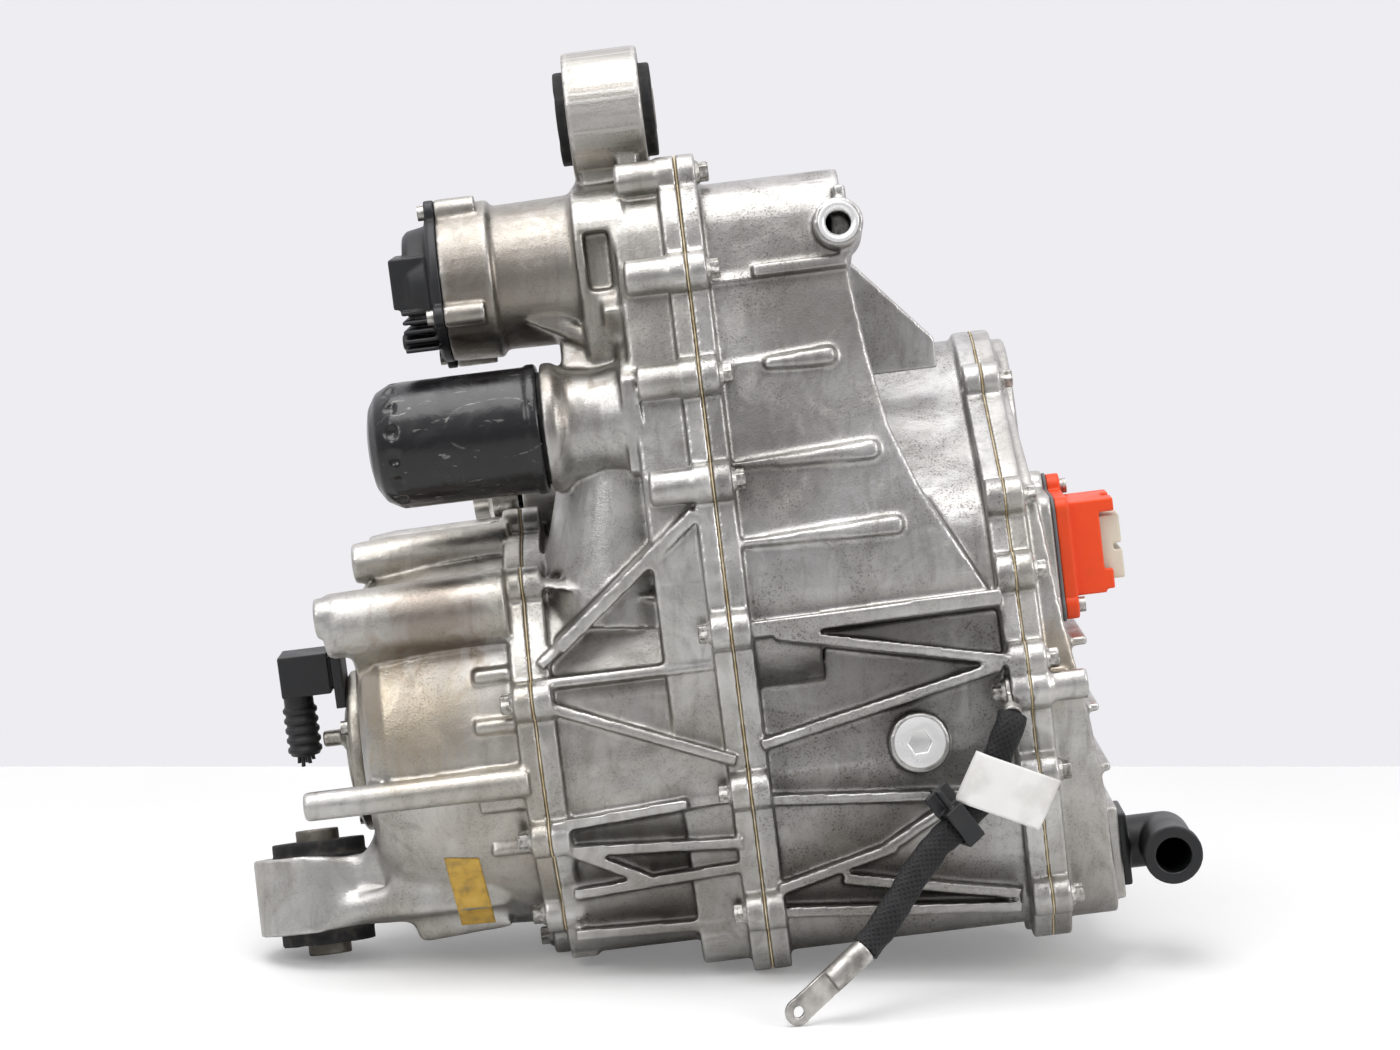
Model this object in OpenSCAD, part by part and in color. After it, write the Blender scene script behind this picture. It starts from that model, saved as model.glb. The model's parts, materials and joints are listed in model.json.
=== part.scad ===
// Electric drive unit: motor, two stage reduction, differential, oil pump, filter and power electronics.
// Everything is drawn on the bench: X runs along the shafts, Y away from the viewer, Z up,
// with the motor axis at y = 0 and z = 0 and the centre seam at x = 0. Then stand() leans it as it rests.

/* [Stance] */
// Angle at which the unit rests on the floor, right side up, degrees
lean = 7; // [0:0.5:12]
// Shift along X that puts the middle of the box at the origin
stand_x = 11.15; // [-60:0.05:60]
// Shift along Y that puts the middle of the box at the origin
stand_y = -26.8; // [-60:0.05:60]
// Height of the motor axis over the floor
stand_z = 148.25; // [100:0.05:200]

/* [Castings] */
// Outer radius of the motor barrel
barrel_r = 116; // [100:0.5:130]
// Wall thickness of the castings
wall = 8; // [5:0.5:12]
// Thickness of a bolted flange
flange_t = 11; // [8:0.5:16]
// How far a flange stands out past the wall
flange_out = 8; // [4:0.5:14]
// How far the bolts stand out past the wall
bolt_out = 9; // [7:0.5:14]
// Radius of the lug around a bolt
lug_r = 11.5; // [9:0.5:15]
// Thickness of the sealant between two castings
gasket_t = 0.8; // [0.3:0.1:2]
// Width of a stiffening rib
rib_w = 6; // [3:0.5:9]
// Height of a stiffening rib over the wall
rib_h = 16; // [4:0.5:20]
// Upward tilt of the front bosses and ribs, degrees
draw = 10; // [0:1:20]
// Length of the left housing
left_len = 115; // [90:1:140]
// Length of the centre housing
centre_len = 118; // [90:1:140]
// Length of the right housing
right_len = 167; // [140:1:200]

/* [Shaft positions] */
// Distance of the output axis behind the motor axis
diff_y = 70; // [60:0.5:80]
// Height of the output axis over the motor axis
diff_z = 145; // [135:0.5:155]

/* [Gears] */
// Module of the first stage
m1 = 2; // [1.5:0.25:3]
// Teeth on the motor pinion
z1 = 25; // [20:1:30]
// Teeth on the layshaft gear
z2 = 71; // [60:1:80]
// Module of the second stage
m2 = 2.75; // [2:0.25:3.5]
// Teeth on the layshaft pinion
z3 = 22; // [18:1:26]
// Teeth on the ring gear
z4 = 70; // [60:1:80]
// Play between meshing teeth
backlash = 0.3; // [0.1:0.05:0.6]
// Teeth on a differential side gear
side_z = 16; // [14:2:20]
// Teeth on a differential spider gear
spider_z = 10; // [8:2:14]

/* [Motor] */
// Outer radius of the stator stack
stator_r = 108.95; // [95:0.05:120]
// Bore radius of the stator stack
stator_bore = 68; // [60:0.5:80]
// Air gap between rotor and stator
air_gap = 0.7; // [0.4:0.1:1.5]
// Number of stator slots
slots = 48; // [24:6:60]
// Left end of the stator stack
stack_x0 = -170; // [-175:1:-160]
// Right end of the stator stack
stack_x1 = -58; // [-70:1:-50]
// Running clearance of a shaft in its bearing
run = 0.05; // [0.02:0.01:0.1]

/* [Fasteners] */
// Shank radius of the flange bolts
bolt_r = 4; // [3:0.5:5]
// Radius of a bolt head under its flange
head_r = 7.5; // [6:0.5:9]
// Height of a bolt head
head_h = 9; // [6:0.5:12]
// Shank radius of the small screws
screw_r = 2.5; // [2:0.25:3]

/* [Oil circuit] */
// Radius of the filter canister
filter_r = 37; // [34:0.5:42]
// Length of the filter canister
filter_len = 104; // [80:1:130]
// Outer radius of the oil pump barrel
pump_r = 43; // [38:0.5:48]
// Bore radius of the oil pump barrel
pump_bore = 33; // [28:0.5:36]
// Offset between the pump's inner and outer rotors
pump_e = 2; // [1.5:0.1:2.5]

/* [Bushings] */
// Outer radius of the upper bushing eye
upper_eye_r = 39; // [36:0.5:44]
// Outer radius of the lower bushing eye
lower_eye_r = 40; // [36:0.5:44]
// Bore radius of both eyes
eye_bore = 32; // [28:0.5:34]
// Outer radius of the inner sleeves
sleeve_r = 13; // [11:0.5:16]
// Bore radius of the inner sleeves
sleeve_bore = 6.5; // [5:0.5:8]

/* [Hidden] */
$fn = 64;

// Seam planes and shaft axes, as [y, z]
seam1 = -centre_len;
left_x = seam1 - left_len;
seam3 = right_len;
motor_at = [0, 0];
diff_at = [diff_y, diff_z];
d1 = m1 * (z1 + z2) / 2;
d2 = m2 * (z3 + z4) / 2;
span = norm(diff_at);
foot = (d1 * d1 - d2 * d2 + span * span) / (2 * span);
rise = sqrt(d1 * d1 - foot * foot);
lay_at = [(foot * diff_y - rise * diff_z) / span, (foot * diff_z + rise * diff_y) / span];
pump_at = [-25, 277];
filter_at = [-72, 189];
upper_eye_at = [0, 365];
lower_eye_at = [-264, -35, -77];
lay_dir = atan2(lay_at[1], lay_at[0]);
diff_dir = atan2(diff_at[1] - lay_at[1], diff_at[0] - lay_at[0]);

// Outlines of the three seams, each a belt around circles [y, z, r]
sump_b = [70, -110, 30];
sump_f = [-70, -110, 30];
motor_c = [0, 0, barrel_r];
lay_c = [lay_at[0], lay_at[1], 84];
diff_c = [diff_y, diff_z, 109];
back_top = [60, 268, 26];
front_top = [-48, 284, 34];
head_c = [66, 141, 59];
head_f = [66, 141, 55];
lay_b = [lay_at[0], lay_at[1], 46];
low_front = [-62, -110, 30];
bay_motor = [0, 0, barrel_r - 8];
gear_belt = [sump_b, diff_c, back_top, front_top, lay_c, motor_c, sump_f];
bay_belt = [sump_b, motor_c, head_f, lay_b, motor_c, sump_f];
case_belt = [sump_b, diff_c, back_top, front_top, lay_c, low_front];
bay_wall = [sump_b, head_c, lay_b, bay_motor, low_front];
low_belt = [[58, -100, 28], motor_c, [-58, -100, 28]];

// Direction of the outer tangent from one circle to the next
function tangent(a, b) = atan2(b[1] - a[1], b[0] - a[0])
  - acos((a[2] - b[2]) / norm([b[0] - a[0], b[1] - a[1]]));
// Points of a belt around circles, grown outwards
function belt(cs, grow = 0, step = 9) = [for (i = [0:len(cs) - 1])
  let (n = len(cs), c = cs[i], a0 = tangent(cs[(i + n - 1) % n], c), a1 = tangent(c, cs[(i + 1) % n]),
    sweep = (a1 - a0 + 1080) % 360, k = max(1, ceil(sweep / step)))
  for (j = [0:k]) let (a = a0 + sweep * j / k)
    [c[0] + (c[2] + grow) * cos(a), c[1] + (c[2] + grow) * sin(a)]];
// Where a closed outline crosses a height, or a depth
function at_height(p, z) = [for (i = [0:len(p) - 1]) let (a = p[i], b = p[(i + 1) % len(p)])
  if ((a[1] - z) * (b[1] - z) < 0) a[0] + (b[0] - a[0]) * (z - a[1]) / (b[1] - a[1])];
function front_at(p, z) = [min(at_height(p, z)), z];
function back_at(p, z) = [max(at_height(p, z)), z];
function at_depth(p, y) = [for (i = [0:len(p) - 1]) let (a = p[i], b = p[(i + 1) % len(p)])
  if ((a[0] - y) * (b[0] - y) < 0) a[1] + (b[1] - a[1]) * (y - a[0]) / (b[0] - a[0])];
function top_at(p, y) = [y, max(at_depth(p, y))];
function bottom_at(p, y) = [y, min(at_depth(p, y))];
function around(c, r, angles) = [for (a = angles) [c[0] + r * cos(a), c[1] + r * sin(a)]];

// Bolt positions on the seams, as [y, z]
left_bolts = around(motor_at, barrel_r + bolt_out, [163, 201, 231, 256, 296, 332, 12, 52, 92, 128]);
gear_line = belt(gear_belt, bolt_out);
centre_bolts_right = concat([for (z = [271, 211, 151]) front_at(gear_line, z)],
  [top_at(gear_line, -58), top_at(gear_line, 52)], [for (z = [232, 160, 80]) back_at(gear_line, z)]);
centre_bolts_left = concat([for (z = [66, -30, -104]) front_at(gear_line, z)],
  [for (z = [4, -64, -112]) back_at(gear_line, z)]);
bay_line = belt(bay_belt, bolt_out);
bay_bolts = concat([for (z = [178, 118, 76, 26, -40, -116]) front_at(bay_line, z)],
  [for (z = [178, 108, 30, -50, -118]) back_at(bay_line, z)], [bottom_at(bay_line, 0)]);
ground_at = [-124, 10];

// Drawing helpers
module stand() translate([stand_x, stand_y, stand_z]) rotate([0, -lean, 0]) children();
module along_x(x0, len) translate([x0, 0, 0]) rotate([90, 0, 90]) linear_extrude(len) children();
module along_y(y0, len) translate([0, y0 + len, 0]) rotate([90, 0, 0]) linear_extrude(len) children();
module rod_x(x0, len, yz, r) translate([x0, yz[0], yz[1]]) rotate([0, 90, 0]) cylinder(h = len, r = r);
module tube_x(x0, len, yz, r, bore) along_x(x0, len) translate(yz) difference() {
  circle(r);
  circle(bore);
}
module turned_x(yz) translate([0, yz[0], yz[1]]) rotate([0, 90, 0]) rotate_extrude() children();
module from_front() translate([0, 0, -5.8]) rotate([-draw, 0, 0]) children();
module bar(p, q, w) {
  d = q - p;
  n = w / 2 / norm(d) * [-d[1], d[0]];
  polygon([p - n, q - n, q + n, p + n]);
}
module at_each(spots) for (p = spots) translate(p) children();

// Flange outlines
module lugs(spots) at_each(spots) circle(lug_r);
module left_face() {
  circle(barrel_r + flange_out);
  lugs(left_bolts);
}
module gear_face() {
  polygon(belt(gear_belt, flange_out));
  lugs(centre_bolts_right);
  lugs(centre_bolts_left);
}
module bay_face() {
  polygon(belt(bay_belt, flange_out));
  lugs(bay_bolts);
  translate(ground_at) circle(12);
}

// Bolts with flanged heads; dir 1 puts the head on the right of the face, and -1 on the left
module bolt(x, yz, dir, reach) translate([x, yz[0], yz[1]]) rotate([0, dir * 90, 0]) {
  translate([0, 0, -reach]) cylinder(h = reach + 1, r = bolt_r);
  cylinder(h = 2.2, r = head_r);
  translate([0, 0, 2.2]) cylinder(h = head_h - 2.2, r = head_r - 1.4);
}
module bolt_holes(x0, len, spots) for (p = spots) rod_x(x0, len, p, bolt_r + 0.15);
module head_room(x0, len, spots) for (p = spots) rod_x(x0, len, p, head_r + 1.5);

// Left housing: motor drum with its end wall, bearing seat, front bosses and lower bushing arm
left_end = seam1 - gasket_t;
drum_profile = [[stator_r + 0.05, left_end], [stator_r + 0.05, -172], [101, -178], [100, -212], [44, -213],
  [44, -199], [36, -199], [36, -216], [30, -216], [30, -228], [50, -228], [54, -225], [88, -224], [100, -219],
  [109, -208], [114, -176], [barrel_r, -140], [barrel_r, left_end]];
// Ejector studs on the drum beside the seam, as [height, length]
studs = [[52, 22], [24, 24], [-22, 27], [-50, 24]];
module eye_frame() translate(lower_eye_at) rotate([-draw, 0, 0]) children();
module left_shell() {
  turned_x(motor_at) polygon(drum_profile);
  along_x(left_end - flange_t, flange_t) difference() {
    left_face();
    circle(barrel_r - 4);
  }
  difference() {
    union() {
      turned_x([-88, 90]) polygon([[0, -236], [17, -236], [19, -233], [20, -200], [22, -128], [0, -128]]);
      along_x(-222, 94) bar([-50, 60], [-88, 90], 40);
      turned_x([40, 112]) polygon([[0, -216], [13, -216], [15, -200], [16, -126], [0, -126]]);
      turned_x([-14, 116]) polygon([[0, -222], [12, -222], [14, -200], [15, -126], [0, -126]]);
      along_x(-222, 98) bar([-100, -7], [-120, -9], 12);
    }
    rod_x(-213, 100, motor_at, 110.5);
  }
  rod_x(-240, 10, [-94, 96], 12);
  turned_x([-120, -9]) polygon([[0, -258], [7.5, -258], [8.5, -256], [9.5, -126], [0, -126]]);
  for (p = studs) rod_x(left_end - flange_t - p[1], p[1] + 4,
    [-sqrt(barrel_r * barrel_r - p[0] * p[0]), p[0]], 4.5);
  difference() {
    union() {
      eye_frame() translate([0, 0, -20]) linear_extrude(40)
        polygon(belt([[0, 0, lower_eye_r - 3], [92, -22, 32], [92, 50, 26]]));
      along_y(-66, 62) polygon([[-240, -72], [-228, -44], [-219, 6], [-190, 6], [-150, -106], [-206, -110],
        [-232, -98]]);
    }
    rod_x(-260, 200, motor_at, 104);
    rod_x(-178, 100, motor_at, 110.5);
    rod_x(-230, 20, motor_at, 60);
    eye_frame() translate([0, 0, -60]) cylinder(h = 37, r = 60);
    eye_frame() translate([0, 0, 23]) cylinder(h = 60, r = lower_eye_r);
  }
  eye_frame() translate([0, 0, -23]) cylinder(h = 46, r = lower_eye_r);
}
module left_housing() color("#b3b1a9") stand() difference() {
  left_shell();
  eye_frame() translate([0, 0, -30]) cylinder(h = 60, r = eye_bore);
  rod_x(-242, 38, [-88, 90], 9.5);
  rod_x(-260, 14, [-120, -9], 4);
  bolt_holes(left_end - flange_t - 1, flange_t + 2, left_bolts);
  head_room(left_end - flange_t - 26, 26, left_bolts);
  for (p = around(motor_at, 41, [30, 150, 270])) rod_x(-229, 10, p, screw_r + 0.1);
}

// Centre housing: right half of the motor drum, left half of the gear case, oil pump barrel,
// filter pad, output tunnel and upper bushing eye
centre_ribs = [[[-116, 92], [-8, 67]], [[-8, 124], [-112, 41]], [[-116, 30], [-8, 30]],
  [[-116, 19], [-6, -27]], [[-116, -53], [-6, -47]], [[-110, -68], [-8, -75]],
  [[-110, -94], [-8, -89]], [[-104, -70], [-66, -90]], [[-112, -118], [-8, -122]]];
module flank(grow, h) translate([-63, -50, 70]) rotate([0, lean, 0])
  cylinder(h = h, r1 = 52 + grow, r2 = 30 + grow);
module centre_shell() {
  along_x(seam1, centre_len) polygon(belt(low_belt));
  along_x(seam1, flange_t) left_face();
  along_x(-40, 40) polygon(belt(gear_belt));
  along_x(-flange_t, flange_t) gear_face();
  for (p = centre_bolts_right) rod_x(-36, 30, p, lug_r - 1);
  rod_x(seam1, 80, diff_at, 46);
  along_x(-110, 80) bar([40, 90], [62, 130], 12);
  turned_x(pump_at) polygon([[0, -30], [pump_r + 5, -30], [pump_r + 4, -62], [pump_r + 1, -66],
    [pump_r, -112], [pump_r + 4, -114], [pump_r + 3, -144], [0, -144]]);
  for (p = pump_screws) rod_x(-144, 24, p, 7);
  turned_x(filter_at) polygon([[0, -93], [filter_r + 1, -93], [filter_r + 1, -86], [filter_r - 5, -78],
    [filter_r - 7, -60], [filter_r - 2, -36], [0, -36]]);
  along_x(-80, 45) bar([-66, 200], [-30, 262], 22);
  rod_x(-60, 45, upper_eye_at, upper_eye_r);
  along_x(-56, 38) bar([0, 280], [0, 343], 46);
  along_x(-34, 12) polygon([[-40, 290], [40, 290], [30, 353], [-30, 353]]);
  intersection() {
    from_front() along_y(-170, 140) for (p = centre_ribs) bar(p[0], p[1], rib_w);
    along_x(seam1 + 2, centre_len - 4) polygon(belt(low_belt, rib_h));
  }
  along_x(seam1, 16) bar([-58, -112], [-62, -130], 20);
  flank(0, 132);
  along_x(-46, 10) polygon([[-60, 150], [-104, 160], [-106, 214], [-70, 240]]);
  from_front() along_y(-106, 54) bar([-94, 246], [-36, 214], 10);
  from_front() along_y(-112, 60) bar([-74, 176], [-36, 166], 8);
  along_x(-52, 18) bar([-74, 236], [-40, 262], 44);
  along_x(-63, 30) polygon(belt([[-30, 252, 46], [0, 290, 36], [-46, 290, 33]]));
}
module centre_room() {
  rod_x(seam1 - 1, centre_len - 13, motor_at, stator_r + 0.05);
  difference() {
    along_x(-32, 33) polygon(belt(gear_belt, -wall));
    rod_x(-33, 29, motor_at, barrel_r);
  }
  difference() {
    flank(-wall, 124);
    rod_x(seam1, 130, motor_at, barrel_r);
    rod_x(seam1, 130, filter_at, 18);
    rod_x(seam1, 130, diff_at, 50);
  }
}
module centre_housing() color("#b6b4ac") stand() difference() {
  union() {
    difference() {
      centre_shell();
      centre_room();
    }
    rod_x(-26, 22, motor_at, 45);
    rod_x(-28, 24, lay_at, 39);
    rod_x(-40, 36, diff_at, 50);
  }
  rod_x(-22, 23, motor_at, 36);
  rod_x(-30, 30, motor_at, 22);
  rod_x(-24, 25, lay_at, 31);
  rod_x(-24, 25, diff_at, 40);
  rod_x(seam1 - 1, 100, diff_at, 30);
  rod_x(-145, 81, pump_at, pump_bore);
  rod_x(-65, 15, pump_at + [pump_e, 0], 21 + run);
  rod_x(-51, 6, pump_at, 5.3);
  for (p = pump_screws) rod_x(-145, 15, p, screw_r + 0.1);
  rod_x(-94, 24, filter_at, 9.6);
  tube_x(-94, 2, filter_at, 33, 26);
  rod_x(-62, 49, upper_eye_at, eye_bore);
  from_front() along_y(-140, 24) translate([-58, 254]) square([15, 34]);
  bolt_holes(-38, 39, centre_bolts_right);
  bolt_holes(-14, 15, centre_bolts_left);
  head_room(-flange_t - 26, 26, centre_bolts_left);
  bolt_holes(seam1 - 1, 24, left_bolts);
}

// Right housing: right half of the gear case with its front web, bearing wall and electronics bay
right_ribs = [[[26, 42], [156, 12]], [[10, -20], [152, 9]], [[8, -52], [150, -65]], [[10, -105], [80, -88]],
  [[48, -103], [150, -124]], [[8, -118], [150, -132]], [[76, -88], [118, -66]]];
web_ribs = [[198, 13, 80], [141, 14, 98], [96, 10, 106]];
web_edge = [[96, 400], [93, 256], [98, 212], [105, 170], [119, 131], [138, 94], [156, 58], [156, 53],
  [260, 53], [260, 400]];
boss_at = [90, 273];
module right_of_web(shift) along_y(-260, 188 + shift) translate([-shift, 0]) polygon(web_edge);
module truss_pocket(depth, x0, r) difference() {
  from_front() along_y(-220, 220 - depth) translate([x0, -170]) square([200, 170 + 46]);
  rod_x(x0 - 1, 52 - x0, lay_at, r);
}
module right_shell() {
  difference() {
    along_x(gasket_t, 156) polygon(belt(case_belt));
    right_of_web(0);
    along_x(94, 80) difference() {
      translate([-74, -300]) square([400, 700]);
      polygon(belt(bay_wall));
    }
    along_x(95, 80) translate([-200, 256]) square([400, 200]);
    truss_pocket(103, 12, 84);
  }
  difference() {
    along_x(94, seam3 - 94) polygon(belt(bay_wall));
    truss_pocket(103, 12, 84);
  }
  along_x(gasket_t, flange_t) gear_face();
  along_x(seam3 - flange_t, flange_t) bay_face();
  intersection() {
    from_front() along_y(-190, 120) {
      for (p = right_ribs) bar(p[0], p[1], rib_w);
      bar([4, 46], [157, 48], 9);
    }
    along_x(gasket_t + 2, seam3 - 6) polygon(belt([sump_b, lay_c, motor_c, sump_f], rib_h - 2));
  }
  intersection() {
    from_front() along_y(-190, 120) for (w = web_ribs)
      polygon([[w[1] - 4, w[0] + 1.5], [w[2] - 3, w[0] + 6], [w[2], w[0] + 4], [w[2], w[0] - 3],
        [w[2] - 3, w[0] - 5], [w[1] - 4, w[0] - 1.5]]);
    along_x(gasket_t + 2, 150) polygon(belt(case_belt, 6));
  }
  from_front() along_y(-152, 70) translate(boss_at) circle(14.5);
  from_front() along_y(-142, 60) {
    bar([2, 252], [93, 252], 7);
    bar([93, 254], [93, 296], 7);
  }
  from_front() along_y(-128, 40) translate([100.6, -29.1]) circle(17.5);
  along_y(0, 9) polygon([[86, 262], [95, 262], [142, 208], [142, 190], [86, 190]]);
}
module right_room() {
  difference() {
    along_x(-1, 129) polygon(belt(case_belt, -wall));
    right_of_web(wall);
    along_x(86.5, 80) difference() {
      translate([-66, -300]) square([400, 700]);
      polygon(belt(bay_wall, -wall));
    }
    along_x(87, 80) translate([-200, 248]) square([400, 200]);
    truss_pocket(103 - wall, -2, 84 - wall);
  }
  difference() {
    along_x(138, 40) polygon(belt(bay_wall, -wall));
    rod_x(130, 50, diff_at, 52);
    truss_pocket(103 - wall, -2, 84 - wall);
  }
}
module right_housing() color("#b8b6ae") stand() difference() {
  union() {
    difference() {
      right_shell();
      right_room();
    }
    rod_x(110, 22, lay_at, 39);
    rod_x(112, 22, diff_at, 50);
  }
  rod_x(109, 19, lay_at, 31);
  rod_x(111, 21, diff_at, 40);
  rod_x(120, 60, diff_at, 34);
  bolt_holes(-1, flange_t + 4, concat(centre_bolts_right, centre_bolts_left));
  head_room(gasket_t + flange_t, 26, centre_bolts_right);
  bolt_holes(seam3 - 22, 23, bay_bolts);
  rod_x(seam3 - 14, 16, ground_at, 5.2);
  from_front() along_y(-153, 31) translate(boss_at) circle(8.4);
  from_front() along_y(-140, 40) translate([100.6, -29.1]) circle(11.05);
}

// Outline of the high voltage connector's flange and its two screws
hv_at = [-35, 78];
module hv_plate(grow) translate(hv_at) {
  polygon(belt([for (q = [[-1, -1], [1, -1], [1, 1], [-1, 1]]) [22 * q[0], 25 * q[1], 7]], grow));
  for (q = [-1, 1]) translate([23 * q, 33 * q]) circle(8 + grow);
}
hv_screws = [for (q = [-1, 1]) hv_at + [23 * q, 33 * q]];

// End cover: closes the electronics bay and carries the right output seal
cover_side = [[seam3 - 2, -160], [seam3 - 2, 230], [181, 190], [187, 110], [193, 42], [201, -11],
  [206, -58], [209, -160]];
module end_cover() color("#b1afa7") stand() difference() {
  union() {
    intersection() {
      along_x(seam3 + gasket_t, 60) polygon(belt(bay_wall));
      along_y(-200, 500) polygon(cover_side);
    }
    along_x(seam3 + gasket_t, flange_t) bay_face();
    rod_x(seam3 + gasket_t, 20, diff_at, 52);
    rod_x(seam3 + gasket_t, 33, ground_at, 9.5);
    along_x(170, 20) bar([-98, 8], ground_at, 15);
    along_x(180, 35) translate([-62, -134]) square([70, 56]);
    along_x(178, 17.95) hv_plate(3);
    for (z = [30, -10, -46]) along_x(190, 17.5 - z / 14) bar([-100, z], [60, z], 5);
  }
  intersection() {
    along_x(seam3 - 1, 60) difference() {
      polygon(belt(bay_wall, -wall));
      translate(diff_at) circle(51);
    }
    along_y(-200, 500) translate([-6, 0]) polygon(cover_side);
  }
  rod_x(160, 40, diff_at, 27);
  rod_x(180, 10, diff_at, 34);
  along_x(150, 80) translate([-60, 52]) square([50, 52]);
  rod_x(180, 60, [-25, -108], 12);
  bolt_holes(seam3 - 1, 20, bay_bolts);
  head_room(seam3 + gasket_t + flange_t, 40, bay_bolts);
  rod_x(seam3 - 1, 28, ground_at, 5.2);
  for (p = hv_screws) rod_x(188, 12, p, screw_r + 0.1);
}

// Sealant between the castings
module left_gasket_face() difference() {
  left_face();
  circle(stator_r + 1);
  at_each(left_bolts) circle(bolt_r + 0.3);
}
module left_gasket() color("#c2a878") stand() along_x(seam1 - gasket_t, gasket_t) left_gasket_face();
module centre_gasket() color("#c2a878") stand() along_x(0, gasket_t) difference() {
  gear_face();
  polygon(belt(case_belt, -wall + 1));
  at_each(concat(centre_bolts_left, centre_bolts_right)) circle(bolt_r + 0.3);
}
module right_gasket() color("#c2a878") stand() along_x(seam3, gasket_t) difference() {
  bay_face();
  difference() {
    polygon(belt(bay_wall, -wall + 1));
    translate(diff_at) circle(51);
  }
  translate(diff_at) circle(35);
  at_each(bay_bolts) circle(bolt_r + 0.3);
  translate(ground_at) circle(5.5);
}

// Bolts of the three seams
module left_flange_bolts() color("#8f8d86") stand()
  for (p = left_bolts) bolt(seam1 - gasket_t - flange_t, p, -1, flange_t + gasket_t + 18);
module centre_flange_bolts() color("#8f8d86") stand() {
  for (p = centre_bolts_right) bolt(gasket_t + flange_t, p, 1, flange_t + gasket_t + 26);
  for (p = centre_bolts_left) bolt(-flange_t, p, -1, flange_t + gasket_t + 10);
}
module cover_bolts() color("#8f8d86") stand() {
  for (p = bay_bolts) bolt(seam3 + gasket_t + flange_t, p, 1, flange_t + gasket_t + 18);
  translate([seam3 - flange_t - 3, ground_at[0], ground_at[1]]) rotate([0, -90, 0]) {
    translate([0, 0, -36]) cylinder(h = 37, r = 5);
    cylinder(h = 3, r = 11);
    translate([0, 0, 3]) cylinder(h = 8, r = 8, $fn = 6);
  }
}
module screw(at, turn, len) translate(at) rotate(turn) {
  translate([0, 0, -len]) cylinder(h = len + 1, r = screw_r);
  cylinder(h = 4, r = 4.5);
}
module small_screws() color("#7d7c78") stand() {
  for (p = around(motor_at, 41, [30, 150, 270])) screw([-236, p[0], p[1]], [0, -90, 0], 14);
  for (p = pump_screws) screw([-150, p[0], p[1]], [0, -90, 0], 18);
  for (p = hv_screws) screw([206.05, p[0], p[1]], [0, 90, 0], 15);
}

// Motor end cap with the rotor position sensor's connector and plug
module motor_end_cap() color("#a9a7a0") stand() difference() {
  union() {
    turned_x(motor_at) polygon([[0, -228], [49, -228], [49, -234], [46, -236], [0, -236]]);
    turned_x(motor_at) polygon([[0, -235], [30, -235], [28, -240], [0, -240]]);
    rod_x(-254, 20, [-14, 12], 5);
    rod_x(-242, 10, [-14, 12], 8);
  }
  rod_x(-234, 8, motor_at, 26);
  for (p = around(motor_at, 41, [30, 150, 270])) rod_x(-240, 14, p, screw_r + 0.1);
}
sensor_at = [-14, 54];
module sensor_connector() color("#1c1d1f") stand() {
  along_x(-258, 18) translate(sensor_at - [13, 10]) square([26, 20]);
  along_x(-242, 6) translate(sensor_at - [16, 22]) square([32, 36]);
  rod_x(-260, 20, sensor_at, 7);
}
module sensor_plug() color("#17181a") stand() difference() {
  union() {
    along_x(-274, 30) translate(sensor_at - [15.5, 12.5]) square([31, 25]);
    translate([-266, sensor_at[0], 4]) cylinder(h = 44, r = 9);
    for (z = [6, 12, 18, 24, 30]) translate([-266, sensor_at[0], z]) cylinder(h = 3, r = 10.5);
  }
  along_x(-262, 30) translate(sensor_at - [13.1, 10.1]) square([26.2, 20.2]);
  translate([-266, sensor_at[0], 3]) cylinder(h = 36, r = 7);
}

// Motor: slotted stack with its winding, rotor stack on its shaft
module slot_spots(w) for (i = [0:slots - 1]) rotate((i + 0.5) * 360 / slots)
  translate([74, -w / 2]) square([24, w]);
module stator_core() color("#6c6a66") stand() along_x(stack_x0, stack_x1 - stack_x0) difference() {
  circle(stator_r);
  circle(stator_bore);
  slot_spots(5);
}
module stator_winding() color("#b0652f") stand() {
  along_x(stack_x0 - 8, stack_x1 - stack_x0 + 16) difference() {
    slot_spots(4.6);
    circle(74.3);
  }
  turned_x(motor_at) polygon([[73, stack_x0 - 6], [99, stack_x0 - 6], [97, -196], [92, -200], [78, -200],
    [74, -196]]);
  turned_x(motor_at) polygon([[73, stack_x1 + 6], [99, stack_x1 + 6], [97, -34], [92, -31], [78, -31],
    [74, -34]]);
}
module rotor_core() color("#5d5c5a") stand() tube_x(stack_x0 + 2, stack_x1 - stack_x0 - 4, motor_at,
  stator_bore - air_gap, 24);

// Involute tooth outline with its first tooth on the +x side
function roll(rb, r) = tan(acos(rb / r)) * 180 / PI - acos(rb / r);
function half_tooth(z, m, r) = let (rp = z * m / 2, rb = rp * cos(20), ru = max(r, rb))
  90 / z - backlash / 2 / rp * 180 / PI / 2 + roll(rb, rp) - roll(rb, ru);
function tooth_radii(z, m) = let (rp = z * m / 2, rb = rp * cos(20), rf = rp - 1.25 * m)
  [rf, max(rb, rf + 0.3 * m), rp, rp + m / 2, rp + m];
function gear_points(z, m) = [for (i = [0:z - 1]) for (s = [-1, 1]) for (k = [0:4])
  let (r = tooth_radii(z, m)[s < 0 ? k : 4 - k], a = i * 360 / z + s * half_tooth(z, m, r))
    [r * cos(a), r * sin(a)]];
module gear(z, m, turn) rotate(turn) polygon(gear_points(z, m));

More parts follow.
